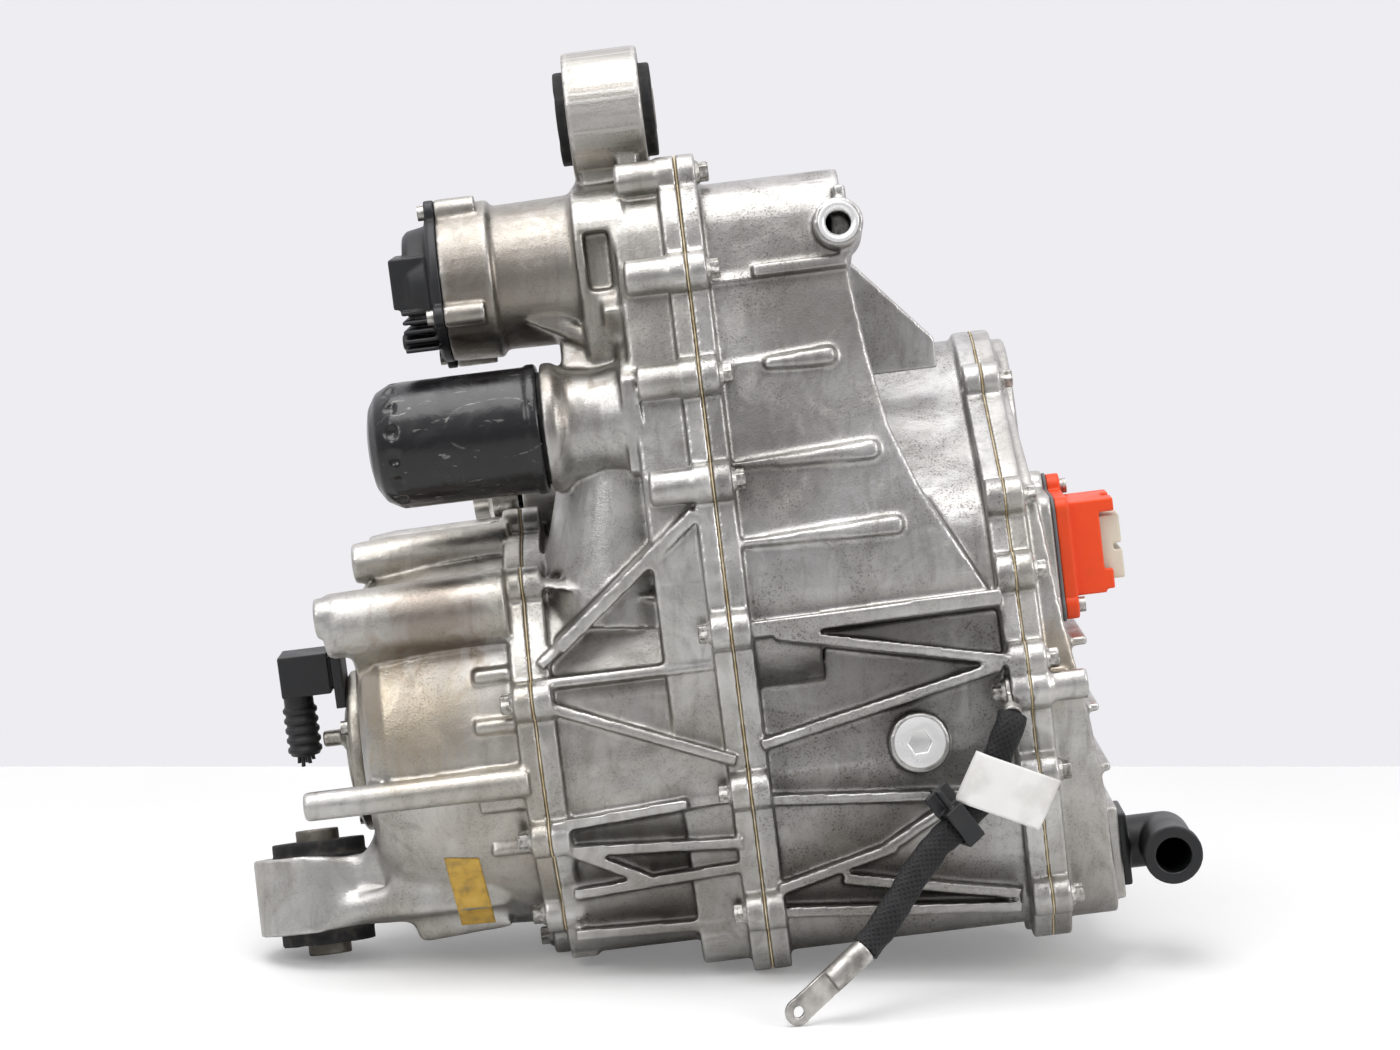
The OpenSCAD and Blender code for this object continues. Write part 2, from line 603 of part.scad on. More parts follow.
module rotor_shaft() color("#8c8b88") stand() {
  turned_x(motor_at) polygon([[0, -222], [17.4, -222], [17.45, -221], [17.45, -198], [24, -197], [24, -27],
    [17.45, -25], [17.45, 3], [21, 5], [21, 14], [0, 14]]);
  along_x(13, 33) gear(z1, m1, lay_dir);
  rod_x(45, 5, motor_at, 20);
}
module sensor_magnet() color("#3a3a3c") stand() tube_x(-226, 4, motor_at, 12, 3);
module bearing(x0, len, yz, r, bore) difference() {
  tube_x(x0, len, yz, r - 0.03, bore + run);
  tube_x(x0 - 1, 2.5, yz, r - 4, bore + 4);
  tube_x(x0 + len - 1.5, 2.5, yz, r - 4, bore + 4);
}
module rotor_bearing_left() color("#9a9996") stand() bearing(-215.9, 15.9, motor_at, 36, 17.45);
module rotor_bearing_right() color("#9a9996") stand() bearing(-21.9, 15.9, motor_at, 36, 17.45);

// Layshaft
module lay_shaft() color("#8a8986") stand() {
  turned_x(lay_at) polygon([[0, -22], [15, -22], [15, -6], [20, -4], [20, 12], [22, 12], [22, 46], [24, 48],
    [24, 80], [20, 82], [20, 110], [15, 111], [15, 127], [0, 127]]);
  along_x(48, 30) translate(lay_at) gear(z3, m2, diff_dir);
}
module lay_gear() color("#8a8986") stand() along_x(15, 30) translate(lay_at) difference() {
  gear(z2, m1, lay_dir + 180 + 180 / z2);
  circle(22.03);
  for (a = [0:60:300]) rotate(a) translate([44, 0]) circle(11);
}
module lay_bearing_left() color("#9a9996") stand() bearing(-23.9, 15.9, lay_at, 31, 15);
module lay_bearing_right() color("#9a9996") stand() bearing(112.1, 15.8, lay_at, 31, 15);

// Differential
bevel_x = 65;
bevel_fill = 0.57;
module ring_gear() color("#8a8986") stand() difference() {
  along_x(50, 25.95) translate(diff_at) difference() {
    gear(z4, m2, diff_dir + 180 + 180 / z4);
    circle(50.05);
  }
  tube_x(49, 13, diff_at, 80, 50);
  for (p = around(diff_at, 66, [0:36:324])) rod_x(60, 20, p, 4.1);
}
module differential_case() color("#7b7a77") stand() difference() {
  turned_x(diff_at) polygon([[16, -23], [22, -23], [22, 10], [30, 14], [50, 26], [50, 76], [80, 76],
    [80, 85], [50, 85], [43, 87], [43, 98], [30, 111], [22, 111], [22, 131], [16, 131], [16, 108],
    [20.1, 108], [20.1, 92], [38, 91], [38, 86], [44, 83], [44, 39], [20.1, 38], [20.1, 24], [16, 24]]);
  translate([52, diff_y - 60, diff_z - 20]) cube([22, 120, 40]);
  translate([bevel_x, diff_y, diff_z - 60]) cylinder(h = 120, r = 8.03);
  for (p = around(diff_at, 66, [0:36:324])) rod_x(75, 12, p, 4.1);
}
module ring_gear_bolts() color("#6f6e6b") stand() for (p = around(diff_at, 66, [0:36:324])) {
  rod_x(61, 23, p, 4);
  rod_x(57, 4.95, p, 6.5);
}
module differential_pin() color("#94938f") stand() translate([bevel_x, diff_y, diff_z - 49.2])
  cylinder(h = 98.4, r = 8);
// Bevel teeth run to the crossing point of the shafts; r is the pitch radius and h its distance
function bevel_points(z, rt, rr, fill) = [for (i = [0:z - 1]) for (q = [[-0.58, 0], [-0.24, 1], [0.24, 1],
  [0.58, 0]]) let (a = (i + q[0] * fill) * 360 / z, r = q[1] > 0 ? rt : rr) [r * cos(a), r * sin(a)]];
module bevel(z, h, rt, rr, keep, turn, fill) translate([0, 0, h * keep])
  linear_extrude(height = h * (1 - keep), scale = 1 / keep)
    scale(keep) rotate(turn) polygon(bevel_points(z, rt, rr, fill));
module side_gear() difference() {
  union() {
    bevel(side_z, 20, 37.5, 26, 0.62, 180 / side_z, bevel_fill);
    translate([0, 0, 19.5]) cylinder(h = 5, r = 26.4);
    translate([0, 0, 13]) cylinder(h = 26, r = 20);
  }
  translate([0, 0, 5]) cylinder(h = 40, r = 15.03);
}
module spider_gear() difference() {
  union() {
    bevel(spider_z, 32, 22.8, 16, 0.68, 0, bevel_fill);
    translate([0, 0, 31.5]) cylinder(h = 7.5, r = 15.4);
  }
  translate([0, 0, 5]) cylinder(h = 50, r = 8.05);
}
module at_bevel() translate([bevel_x, diff_y, diff_z]) children();
module spider_gear_upper() color("#85847f") stand() at_bevel() spider_gear();
module spider_gear_lower() color("#85847f") stand() at_bevel() rotate([180, 0, 0]) spider_gear();
module left_side_gear() color("#85847f") stand() at_bevel() rotate([0, -90, 0]) side_gear();
module right_side_gear() color("#85847f") stand() at_bevel() rotate([0, 90, 0]) side_gear();
module differential_bearing_left() color("#9a9996") stand() bearing(-23.9, 17.9, diff_at, 40, 22);
module differential_bearing_right() color("#9a9996") stand() bearing(114, 17.9, diff_at, 40, 22);

// Output shaft and seals
module left_output_shaft() color("#b9b8b4") stand() turned_x(diff_at) polygon([[0, 51], [14, 51], [15, 50],
  [15, -120], [19, -121], [27, -122], [27, -138], [23, -141], [23, -150], [12, -150], [12, -126], [0, -126]]);
module left_output_bearing() color("#9a9996") stand() bearing(-104, 16, diff_at, 30, 15);
module left_output_seal() color("#202124") stand() tube_x(seam1, 8, diff_at, 29.97, 15 + run);
module right_output_seal() color("#202124") stand() turned_x(diff_at) polygon([[33.97, 180], [33.97, 186],
  [31, 189], [18, 189], [16, 186], [16, 182], [27, 180]]);

// Oil pump
gero_r = 15;
lobe_r = 5;
function gero_path(t) = [gero_r * cos(t) + pump_e * cos(5 * t), gero_r * sin(t) + pump_e * sin(5 * t)];
function gero_slope(t) = [-gero_r * sin(t) - 5 * pump_e * sin(5 * t),
  gero_r * cos(t) + 5 * pump_e * cos(5 * t)];
function gero_points(off) = [for (t = [0:2.5:357.5]) let (d = gero_slope(t), n = norm(d))
  gero_path(t) - off / n * [d[1], -d[0]]];
pump_screws = around(pump_at, pump_r + 4, [20, 110, 200, 290]);
module oil_pump_cover() color("#1b1c1e") stand() difference() {
  union() {
    turned_x(pump_at) polygon([[0, -144.1], [pump_r + 3, -144.1], [pump_r + 3, -149], [pump_r, -151],
      [pump_r - 7, -152], [pump_r - 9, -163], [pump_r - 12, -166], [0, -166]]);
    for (p = pump_screws) rod_x(-150, 5.9, p, 7);
    along_x(-174, 24) translate(pump_at + [-32, -10]) square([42, 30]);
    along_x(-170, 20) for (i = [0:4]) translate(pump_at + [-34, -36 + 5.5 * i]) square([62, 2.6]);
    rod_x(-172, 22, pump_at + [-20, -30], 4.5);
  }
  for (p = pump_screws) {
    rod_x(-152, 10, p, screw_r + 0.1);
    rod_x(-176, 26, p, 5.5);
  }
  rod_x(-160, 30, pump_at, 28);
  along_x(-176, 8) translate(pump_at + [-29, -7]) square([36, 24]);
}
module pump_motor() color("#55565a") stand() difference() {
  tube_x(-143.9, 79.8, pump_at, pump_bore - 0.03, 5 + run);
  rod_x(-145, 70, pump_at, 10);
}
module pump_shaft() color("#93928e") stand() {
  rod_x(-150, 102, pump_at, 5);
  rod_x(-142, 62, pump_at, 9.2);
  along_x(-64, 12) translate(pump_at) polygon(gero_points(lobe_r + 0.12));
}
module pump_outer_rotor() color("#8b8a86") stand() along_x(-64, 12) translate(pump_at + [pump_e, 0]) {
  difference() {
    circle(21);
    circle(14.2);
  }
  intersection() {
    circle(20.5);
    at_each(around([0, 0], gero_r, [0:72:288])) circle(lobe_r);
  }
}

// Oil filter
filter_x = -93;
module oil_filter() color("#1e1f21") stand() difference() {
  turned_x(filter_at) polygon([[0, filter_x - filter_len], [14, filter_x - filter_len],
    [24, filter_x - filter_len + 2], [32, filter_x - filter_len + 7], [filter_r, filter_x - filter_len + 16],
    [filter_r, filter_x - 9], [filter_r + 1.2, filter_x - 8], [filter_r + 1.2, filter_x - 3],
    [filter_r - 1, filter_x - 1.5], [0, filter_x - 1.5]]);
  for (a = [0:24:336]) translate([0, filter_at[0], filter_at[1]]) rotate([a, 0, 0])
    translate([filter_x - filter_len - 4, 0, filter_r + 3]) rotate([0, 90, 0]) cylinder(h = 24, r = 5.5);
  rod_x(filter_x - 70, 70, filter_at, 9.6);
  tube_x(filter_x - 3.5, 4, filter_at, 33, 26);
}
module filter_gasket() color("#26262a") stand() tube_x(filter_x - 3.4, 4.35, filter_at, 32.9, 26.1);
module filter_nipple() color("#8d8c88") stand() tube_x(filter_x - 20, 42, filter_at, 9.5, 6);

// Bushings: rubber blocks bonded round steel sleeves
module rubber_web(r) difference() {
  circle(r);
  circle(sleeve_r + 0.02);
  for (a = [0, 180]) rotate(a) intersection() {
    difference() {
      circle(r - 5);
      circle(sleeve_r + 6);
    }
    polygon([[0, 0], [60, -46], [60, 46]]);
  }
}
module rubber_block(h, r, lip) {
  linear_extrude(h) rubber_web(r);
  translate([0, 0, -lip]) linear_extrude(h + 2 * lip) intersection() {
    rubber_web(r);
    circle(r - 4);
  }
}
module upper_bushing_rubber() color("#232326") stand() translate([-59, upper_eye_at[0], upper_eye_at[1]])
  rotate([0, 90, 0]) rotate(90) rubber_block(43, eye_bore - 0.02, 7.5);
module upper_bushing_sleeve() color("#8f8b82") stand() tube_x(-67, 59, upper_eye_at, sleeve_r, sleeve_bore);
module lower_bushing_rubber() color("#232326") stand() eye_frame() translate([0, 0, -22]) rotate(90)
  rubber_block(44, eye_bore - 0.02, 9);
module lower_bushing_sleeve() color("#8f8b82") stand() eye_frame() translate([0, 0, -37.75]) difference() {
  cylinder(h = 75.5, r = sleeve_r);
  translate([0, 0, -1]) cylinder(h = 78, r = sleeve_bore);
}

// Fill plug in its front boss
module fill_plug() color("#cfcdc6") stand() from_front() difference() {
  union() {
    along_y(-129, 26) translate([100.6, -29.1]) circle(11);
    along_y(-132, 3.95) translate([100.6, -29.1]) circle(14.8);
  }
  along_y(-133, 12) translate([100.6, -29.1]) circle(7, $fn = 6);
}

// High voltage connector, coolant elbow and power electronics
module hv_gasket() color("#8d8d8b") stand() along_x(196, 2) difference() {
  hv_plate(1);
  translate([-59, 53]) square([48, 50]);
  at_each(hv_screws) circle(3);
}
module hv_connector() color("#e2551e") stand() difference() {
  union() {
    along_x(198.05, 8) hv_plate(0);
    along_x(205, 19) translate([-57, 50]) square([44, 56]);
    along_x(205, 28) translate([-57, 98]) square([44, 8]);
    along_x(205, 24) for (y = [-57, -18]) translate([y, 52]) square([5, 12]);
    along_x(176, 24) translate([-58, 54]) square([46, 48]);
  }
  along_x(211, 24) translate([-53, 55]) square([36, 43]);
  along_x(170, 30) translate([-53, 59]) square([36, 38]);
  along_x(228, 8) translate([-41, 90]) square([12, 20]);
  for (p = hv_screws) rod_x(190, 20, p, screw_r + 0.1);
}
module hv_terminal_block() color("#d8d3c0") stand() {
  along_x(211.05, 25) for (z = [57, 78]) difference() {
    translate([-51, z]) square([32, 17]);
    translate([-47, z + 5]) square([24, 7]);
  }
  along_x(211.05, 5) translate([-51, 57]) square([32, 38]);
  along_x(211.05, 20) for (y = [-51, -36.5, -22]) translate([y, 57]) square([3, 38]);
}
module coolant_elbow() color("#1d1e20") stand() difference() {
  union() {
    along_x(215.05, 6) translate([-46, -130]) square([42, 44]);
    rod_x(215.05, 29, [-25, -108], 16);
    translate([244, -25, -108]) sphere(16);
    translate([244, -25, -108]) rotate([90, 0, 0]) cylinder(h = 52, r = 16);
    translate([244, -70, -108]) rotate([90, 0, 0]) cylinder(h = 8, r = 17.5);
  }
  rod_x(214, 30, [-25, -108], 10.5);
  translate([244, -25, -108]) sphere(10.5);
  translate([244, -25, -108]) rotate([90, 0, 0]) cylinder(h = 60, r = 10.5);
}
module inverter_board() color("#2f5a3c") stand() along_x(163, 2) translate([-84, -96]) square([120, 116]);
module power_module() color("#4a4b4e") stand() {
  along_x(138.05, 16) translate([-70, -84]) square([96, 92]);
  for (y = [-62, 18]) for (z = [-76, 0]) rod_x(153, 9.95, [y, z], 4);
}

// Ground strap: a flat braid in a sleeve, one swept tube between two crimped ring lugs, with a clip on it
strap_path = [[154.5, -141.5, -1], [152, -145.5, -6.5], [148, -147.5, -14], [143.5, -148.5, -22],
  [139, -149, -31], [134, -149.5, -40.5], [127, -150.5, -49.5], [117, -152.5, -57.5],
  [106.5, -157, -64.5], [97, -162, -72], [88, -167.5, -80.5], [79.5, -173.5, -90],
  [71, -179.5, -99.5], [62.5, -184.5, -108], [54, -189.5, -115.5]];
lug_eye = [14.6, -205, -141.2];
function unit(v) = v / norm(v);
function heading(p, i) = unit(p[min(i + 1, len(p) - 1)] - p[max(i - 1, 0)]);
function ring_at(p, i, w, t, n) = let (d = heading(p, i), u = unit(cross(d, [0, 1, 0])), v = cross(d, u))
  [for (k = [0:n - 1]) p[i] + w * cos(360 * k / n) * u + t * sin(360 * k / n) * v];
module swept(p, w, t, n) polyhedron([for (i = [0:len(p) - 1]) for (q = ring_at(p, i, w, t, n)) q],
  concat([for (i = [0:len(p) - 2]) for (k = [0:n - 1])
    [(i + 1) * n + k, (i + 1) * n + (k + 1) % n, i * n + (k + 1) % n, i * n + k]],
    [[for (k = [0:n - 1]) k], [for (k = [n - 1:-1:0]) (len(p) - 1) * n + k]]));
module aimed(from, to) {
  d = unit(to - from);
  translate(from) rotate([0, acos(d[2]), atan2(d[1], d[0])]) children();
}
module ground_strap() color("#1a1a1c") stand() swept(strap_path, 9, 5.5, 12);
module ground_lug() color("#a8a59c") stand() {
  aimed(strap_path[14], lug_eye) {
    cylinder(h = 27, r = 7.5);
    rotate([90, 0, 0]) translate([0, 0, -1.5]) linear_extrude(3) difference() {
      union() {
        translate([-7.6, 20]) square([15.2, 32]);
        translate([0, 52]) circle(8);
      }
      translate([0, 52]) circle(3.3);
    }
  }
  translate([seam3 - flange_t - 2.95, ground_at[0], ground_at[1]]) rotate([90, 0, 90]) linear_extrude(2.9)
    difference() {
      union() {
        circle(10);
        rotate(212) translate([0, -6]) square([17, 12]);
      }
      circle(5.2);
    }
  aimed([154.5, -137.2, 1.8], strap_path[0]) cylinder(h = 5.3, r = 6);
}
module strap_clip() color("#232427") stand() aimed(strap_path[7], strap_path[8]) difference() {
  union() {
    translate([-12.5, -8.5, -6]) cube([25, 17, 12]);
    translate([-25, -1.5, -8.5]) cube([14, 3, 17]);
    translate([-25, -6, -1.5]) cube([14, 12, 3]);
  }
  translate([-8.9, -5.4, -9]) cube([17.8, 10.8, 18]);
}

left_housing();
centre_housing();
right_housing();
end_cover();
left_gasket();
centre_gasket();
right_gasket();
left_flange_bolts();
centre_flange_bolts();
cover_bolts();
small_screws();
motor_end_cap();
sensor_connector();
sensor_plug();
stator_core();
stator_winding();
rotor_core();
rotor_shaft();
sensor_magnet();
rotor_bearing_left();
rotor_bearing_right();
lay_shaft();
lay_gear();
lay_bearing_left();
lay_bearing_right();
ring_gear();
differential_case();
ring_gear_bolts();
differential_pin();
spider_gear_upper();
spider_gear_lower();
left_side_gear();
right_side_gear();
differential_bearing_left();
differential_bearing_right();
left_output_shaft();
left_output_bearing();
left_output_seal();
right_output_seal();
oil_pump_cover();
pump_motor();
pump_shaft();
pump_outer_rotor();
oil_filter();
filter_gasket();
filter_nipple();
upper_bushing_rubber();
upper_bushing_sleeve();
lower_bushing_rubber();
lower_bushing_sleeve();
fill_plug();
hv_gasket();
hv_connector();
hv_terminal_block();
coolant_elbow();
inverter_board();
power_module();
ground_strap();
ground_lug();
strap_clip();
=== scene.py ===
import json
import math
import bmesh
import bpy
import numpy as np
from mathutils import Matrix, Vector
from mathutils.bvhtree import BVHTree


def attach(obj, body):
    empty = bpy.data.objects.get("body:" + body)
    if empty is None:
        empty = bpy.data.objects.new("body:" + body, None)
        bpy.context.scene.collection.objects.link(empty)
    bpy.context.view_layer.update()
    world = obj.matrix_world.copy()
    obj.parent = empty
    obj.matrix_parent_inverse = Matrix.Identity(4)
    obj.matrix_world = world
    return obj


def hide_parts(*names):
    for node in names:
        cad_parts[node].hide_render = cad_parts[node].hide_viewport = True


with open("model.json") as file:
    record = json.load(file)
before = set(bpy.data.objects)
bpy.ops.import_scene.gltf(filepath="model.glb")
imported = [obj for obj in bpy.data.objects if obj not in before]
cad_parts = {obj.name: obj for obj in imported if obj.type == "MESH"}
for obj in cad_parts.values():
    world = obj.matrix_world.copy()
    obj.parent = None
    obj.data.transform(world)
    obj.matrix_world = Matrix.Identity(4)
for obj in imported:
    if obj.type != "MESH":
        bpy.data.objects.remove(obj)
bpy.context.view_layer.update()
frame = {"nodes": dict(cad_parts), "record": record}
nodes = frame["nodes"]

# Camera: stands far off in front of the unit, as with a long lens, and looks down by 7 degrees.
# The picture is 1400 by 1050, and one of its pixels is 0.58 mm on the castings' front.
scene = bpy.context.scene
scene.view_settings.view_transform = "Standard"
middle = Vector((-0.0142, -0.0134, 0.2567))
dip = math.radians(7)
stand_off, front_depth = 2.35, 0.115
picture_wide, picture_high, pixel = 1400, 1050, 0.00058
view = Vector((0, math.cos(dip), -math.sin(dip)))
lens = bpy.data.cameras.new("studio_camera")
lens.sensor_width = 36
lens.lens = (stand_off - front_depth) / pixel * lens.sensor_width / picture_wide
camera = bpy.data.objects.new("studio_camera", lens)
camera.location = middle - stand_off * view
camera.rotation_euler = (math.pi / 2 - dip, 0, 0)
scene.collection.objects.link(camera)
scene.camera = camera


# Ground strap: a flat tinned copper braid inside a black woven polyester sleeve. It leaves a ring
# lug under a cover bolt, hangs down the right housing and ends in a second crimped lug.
def hue(code):
    parts = [int(code[i:i + 2], 16) / 255 for i in (1, 3, 5)]
    return tuple(c / 12.92 if c <= 0.04045 else ((c + 0.055) / 1.055) ** 2.4 for c in parts) + (1.0,)


def add(tree, kind, inputs=(), stops=(), **settings):
    n = tree.nodes.new(kind)
    for key, value in settings.items():
        setattr(n, key, value)
    for key, value in dict(inputs).items():
        if isinstance(value, bpy.types.NodeSocket):
            tree.links.new(value, n.inputs[key])
        else:
            n.inputs[key].default_value = value
    for i, (at, colour) in enumerate(stops):
        e = n.color_ramp.elements[i] if i < 2 else n.color_ramp.elements.new(at)
        e.position, e.color = at, hue(colour)
    return n


def begin(name, **constants):
    m = bpy.data.materials.new(name)
    m.use_nodes = True
    surface = m.node_tree.nodes["Principled BSDF"]
    for key, value in constants.items():
        surface.inputs[key.replace("_", " ").title().replace("Ior", "IOR")].default_value = value
    return m, m.node_tree, surface, add(m.node_tree, "ShaderNodeTexCoord").outputs


def feed(tree, surface, colour=None, rough=None, bump=None, depth=0.0003, strength=1.0):
    if colour is not None:
        tree.links.new(colour, surface.inputs["Base Color"])
    if rough is not None:
        tree.links.new(rough, surface.inputs["Roughness"])
    if bump is not None:
        b = add(tree, "ShaderNodeBump", {"Height": bump, "Distance": depth, "Strength": strength})
        tree.links.new(b.outputs[0], surface.inputs["Normal"])


def blend(tree, factor, a, b):
    return add(tree, "ShaderNodeMix", {0: factor, 6: a, 7: b}, data_type="RGBA").outputs[2]


def noise(tree, vector, scale, detail, **more):
    settings = {"Vector": vector, "Scale": scale, "Detail": detail, **more}
    return add(tree, "ShaderNodeTexNoise", settings).outputs[0]


def spread(tree, value, low, high, start, end):
    return add(tree, "ShaderNodeMapRange", {0: value, 1: low, 2: high, 3: start, 4: end}).outputs[0]


def maths(tree, operation, *values):
    return add(tree, "ShaderNodeMath", dict(enumerate(values)), operation=operation).outputs[0]


def ramp(tree, value, *stops):
    return add(tree, "ShaderNodeValToRGB", {0: value}, stops).outputs[0]


def kept(tree, label):
    return add(tree, "ShaderNodeAttribute", attribute_name=label).outputs["Fac"]


def place(name, mesh, material=None, smooth=True):
    obj = bpy.data.objects.new(name, mesh)
    scene.collection.objects.link(obj)
    if material:
        mesh.materials.clear()
        mesh.materials.append(material)
    mesh.shade_smooth() if smooth else mesh.shade_flat()
    return obj


def meshed(bm, name):
    mesh = bpy.data.meshes.new(name)
    bmesh.ops.recalc_face_normals(bm, faces=bm.faces)
    bm.to_mesh(mesh)
    bm.free()
    return mesh


lean = math.radians(7)
unit_x, unit_y, unit_z = 0.01115, -0.0268, 0.14825


def stand(p):
    c, s = math.cos(lean), math.sin(lean)
    return Vector((p[0] * c - p[2] * s + unit_x, p[1] + unit_y, p[0] * s + p[2] * c + unit_z))


strap_route = [stand(p) for p in (
    (0.1545, -0.1415, -0.001), (0.152, -0.1455, -0.0065), (0.148, -0.1475, -0.014),
    (0.1435, -0.1485, -0.022), (0.139, -0.149, -0.031), (0.134, -0.1495, -0.0405),
    (0.127, -0.1505, -0.0495), (0.117, -0.1525, -0.0575), (0.1065, -0.157, -0.0645),
    (0.097, -0.162, -0.072), (0.088, -0.1675, -0.0805), (0.0795, -0.1735, -0.09),
    (0.071, -0.1795, -0.0995), (0.0625, -0.1845, -0.108), (0.054, -0.1895, -0.1155))]
strap_wide, strap_thick = 0.009, 0.0055
bench_y = Vector((0, 1, 0))


def along(points, per_span):
    line = []
    for i in range(len(points) - 1):
        p0, p1 = points[max(i - 1, 0)], points[i]
        p2, p3 = points[i + 1], points[min(i + 2, len(points) - 1)]
        for k in range(per_span):
            t = k / per_span
            line.append(0.5 * (2 * p1 + (p2 - p0) * t + (2 * p0 - 5 * p1 + 4 * p2 - p3) * t ** 2
                               + (3 * p1 - p0 - 3 * p2 + p3) * t ** 3))
    return line + [points[-1]]


def sleeve_mesh(points, sides=40):
    bm = bmesh.new()
    wide, thick = strap_wide, strap_thick
    wide_fit, thick_fit = 0.97, 0.93
    uv = bm.loops.layers.uv.new("weave")
    rings, run, gone = [], [], 0.0
    for i, p in enumerate(points):
        d = (points[min(i + 1, len(points) - 1)] - points[max(i - 1, 0)]).normalized()
        u = d.cross(bench_y).normalized()
        v = d.cross(u)
        gone += (p - points[i - 1]).length if i else 0
        wave = 1 + 0.05 * math.sin(gone * 190) + 0.03 * math.sin(gone * 470 + 1)
        row = []
        for k in range(sides):
            a = 2 * math.pi * k / sides
            ripple = 1 + 0.03 * math.sin(3 * a + gone * 260)
            row.append(bm.verts.new(
                p + u * wide * math.cos(a) * min(wave, 1.0) * ripple * wide_fit
                + v * thick * math.sin(a) * wave * ripple * thick_fit))
        rings.append(row)
        run.append(gone)
    for i in range(len(rings) - 1):
        for k in range(sides):
            j = (k + 1) % sides
            face = bm.faces.new((rings[i][k], rings[i][j], rings[i + 1][j], rings[i + 1][k]))
            for loop, (s, l) in zip(face.loops, ((k, i), (k + 1, i), (k + 1, i + 1), (k, i + 1))):
                loop[uv].uv = (s / sides, run[l])
    bm.faces.new(rings[0])
    bm.faces.new(rings[-1])
    return meshed(bm, "strap_sleeve")


# Woven polyester sleeve: matt black flat yarns that cross, 14 round the strap and 4 mm apart along
# it, coarser than the real weave so that they show. The yarns' crowns are painted a lighter grey as a
# painted gloss, and the gaps between them darker as painted shade.
def woven_polyester():
    m, t, surface, at = begin("woven_polyester_sleeve", roughness=0.55, specular_ior_level=0.28,
                              sheen_weight=0.04)
    yarns_round, yarn_step = 14.0, 0.004
    uv = add(t, "ShaderNodeSeparateXYZ", {0: at["UV"]}).outputs
    turns = maths(t, "MULTIPLY", uv[0], yarns_round)
    steps = maths(t, "MULTIPLY", uv[1], 1 / yarn_step)
    yarns = []
    for sign in ("ADD", "SUBTRACT"):
        yarns.append(maths(t, "PINGPONG", maths(t, sign, turns, steps), 0.5))
    crown = maths(t, "MAXIMUM", yarns[0], yarns[1])
    dust = noise(t, at["Object"], 160, 4)
    # Yarn crowns painted lighter as a painted gloss, the gaps between yarns darker as painted shade.
    yarn = ramp(t, crown, (0.15, "#060607"), (0.5, "#1b1b1d"))
    dusty = spread(t, dust, 0.55, 0.75, 0.0, 0.25)
    feed(t, surface, blend(t, dusty, yarn, hue("#4a4540")), bump=crown, depth=0.0008, strength=0.8)
    return m


strap_line = along(strap_route, 9)
strap = place("strap_sleeve", sleeve_mesh(strap_line), woven_polyester())
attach(strap, "housing")
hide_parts("ground_strap")


# Skins of solid pieces: a copy of the CAD solid, rebuilt on a fine grid and relaxed, so that its
# edges get the small radii of cast, moulded or pressed parts. It keeps how hollow each spot is.
def relax(co, ends, count, rounds, share=0.5, back=0.0):
    n = len(co)
    share = np.broadcast_to(share, (n,))
    near = share[ends[0]] > 0
    a, b = ends[0][near], ends[1][near]
    for _ in range(rounds):
        for step in (share, -back * np.sign(share)) if back else (share,):
            mean = np.stack([np.bincount(a, co[b, k], n) for k in range(3)], 1) / count[:, None]
            co = co + step[:, None] * (mean - co)
    return co


def bake(obj):
    graph = bpy.context.evaluated_depsgraph_get()
    obj.data = bpy.data.meshes.new_from_object(obj.evaluated_get(graph))
    obj.modifiers.clear()


def solid_of(piece):
    bm = bmesh.new()
    bm.from_mesh(nodes[piece].data)
    bmesh.ops.remove_doubles(bm, verts=bm.verts, dist=1e-6)
    return bm


level = Matrix.Rotation(lean, 4, "Y")


def skin(name, piece, grid, rounds, most, crisp=(), soft=(), extra=()):
    seam_keep, seam_fade = 0.0016, 0.002
    bm = solid_of(piece)
    for shell in extra:
        bm.from_mesh(shell)
    bm.transform(level)
    mesh = bpy.data.meshes.new(name)
    bm.to_mesh(mesh)
    bm.free()
    obj = place(name, mesh)
    mod = obj.modifiers.new("grid", "REMESH")
    mod.mode, mod.voxel_size, mod.adaptivity = "VOXEL", grid, 0.0
    bake(obj)
    mesh = obj.data
    co = np.empty(len(mesh.vertices) * 3)
    mesh.vertices.foreach_get("co", co)
    co, bonds = co.reshape(-1, 3), links(mesh)
    loose = np.full(len(co), 0.5)
    for seam in crisp:
        loose *= np.clip((np.abs(co[:, 0] - seam) - seam_keep) / seam_fade, 0, 1)
    co = relax(co, *bonds, 5, share=0.5, back=0.53)
    co = relax(co, *bonds, rounds, loose)
    for centre, reach, times in soft:
        far = np.linalg.norm(co - np.array(level @ stand(centre)), axis=1) / reach
        co = relax(co, *bonds, times, 0.5 * np.clip(1.6 * (1 - far), 0, 1))
    mesh.vertices.foreach_set("co", co.ravel())
    mesh.transform(level.inverted())
    faces = sum(len(p.vertices) - 2 for p in mesh.polygons)
    if faces > most:
        mod = obj.modifiers.new("thin", "DECIMATE")
        mod.ratio = most / faces
        bake(obj)
    hollows(obj.data)
    obj.data.shade_smooth()
    return obj


def links(mesh):
    edges = np.empty(len(mesh.edges) * 2, dtype=np.int64)
    mesh.edges.foreach_get("vertices", edges)
    a, b = edges[0::2], edges[1::2]
    ends = np.concatenate([a, b]), np.concatenate([b, a])
    return ends, np.maximum(np.bincount(ends[0], minlength=len(mesh.vertices)), 1)


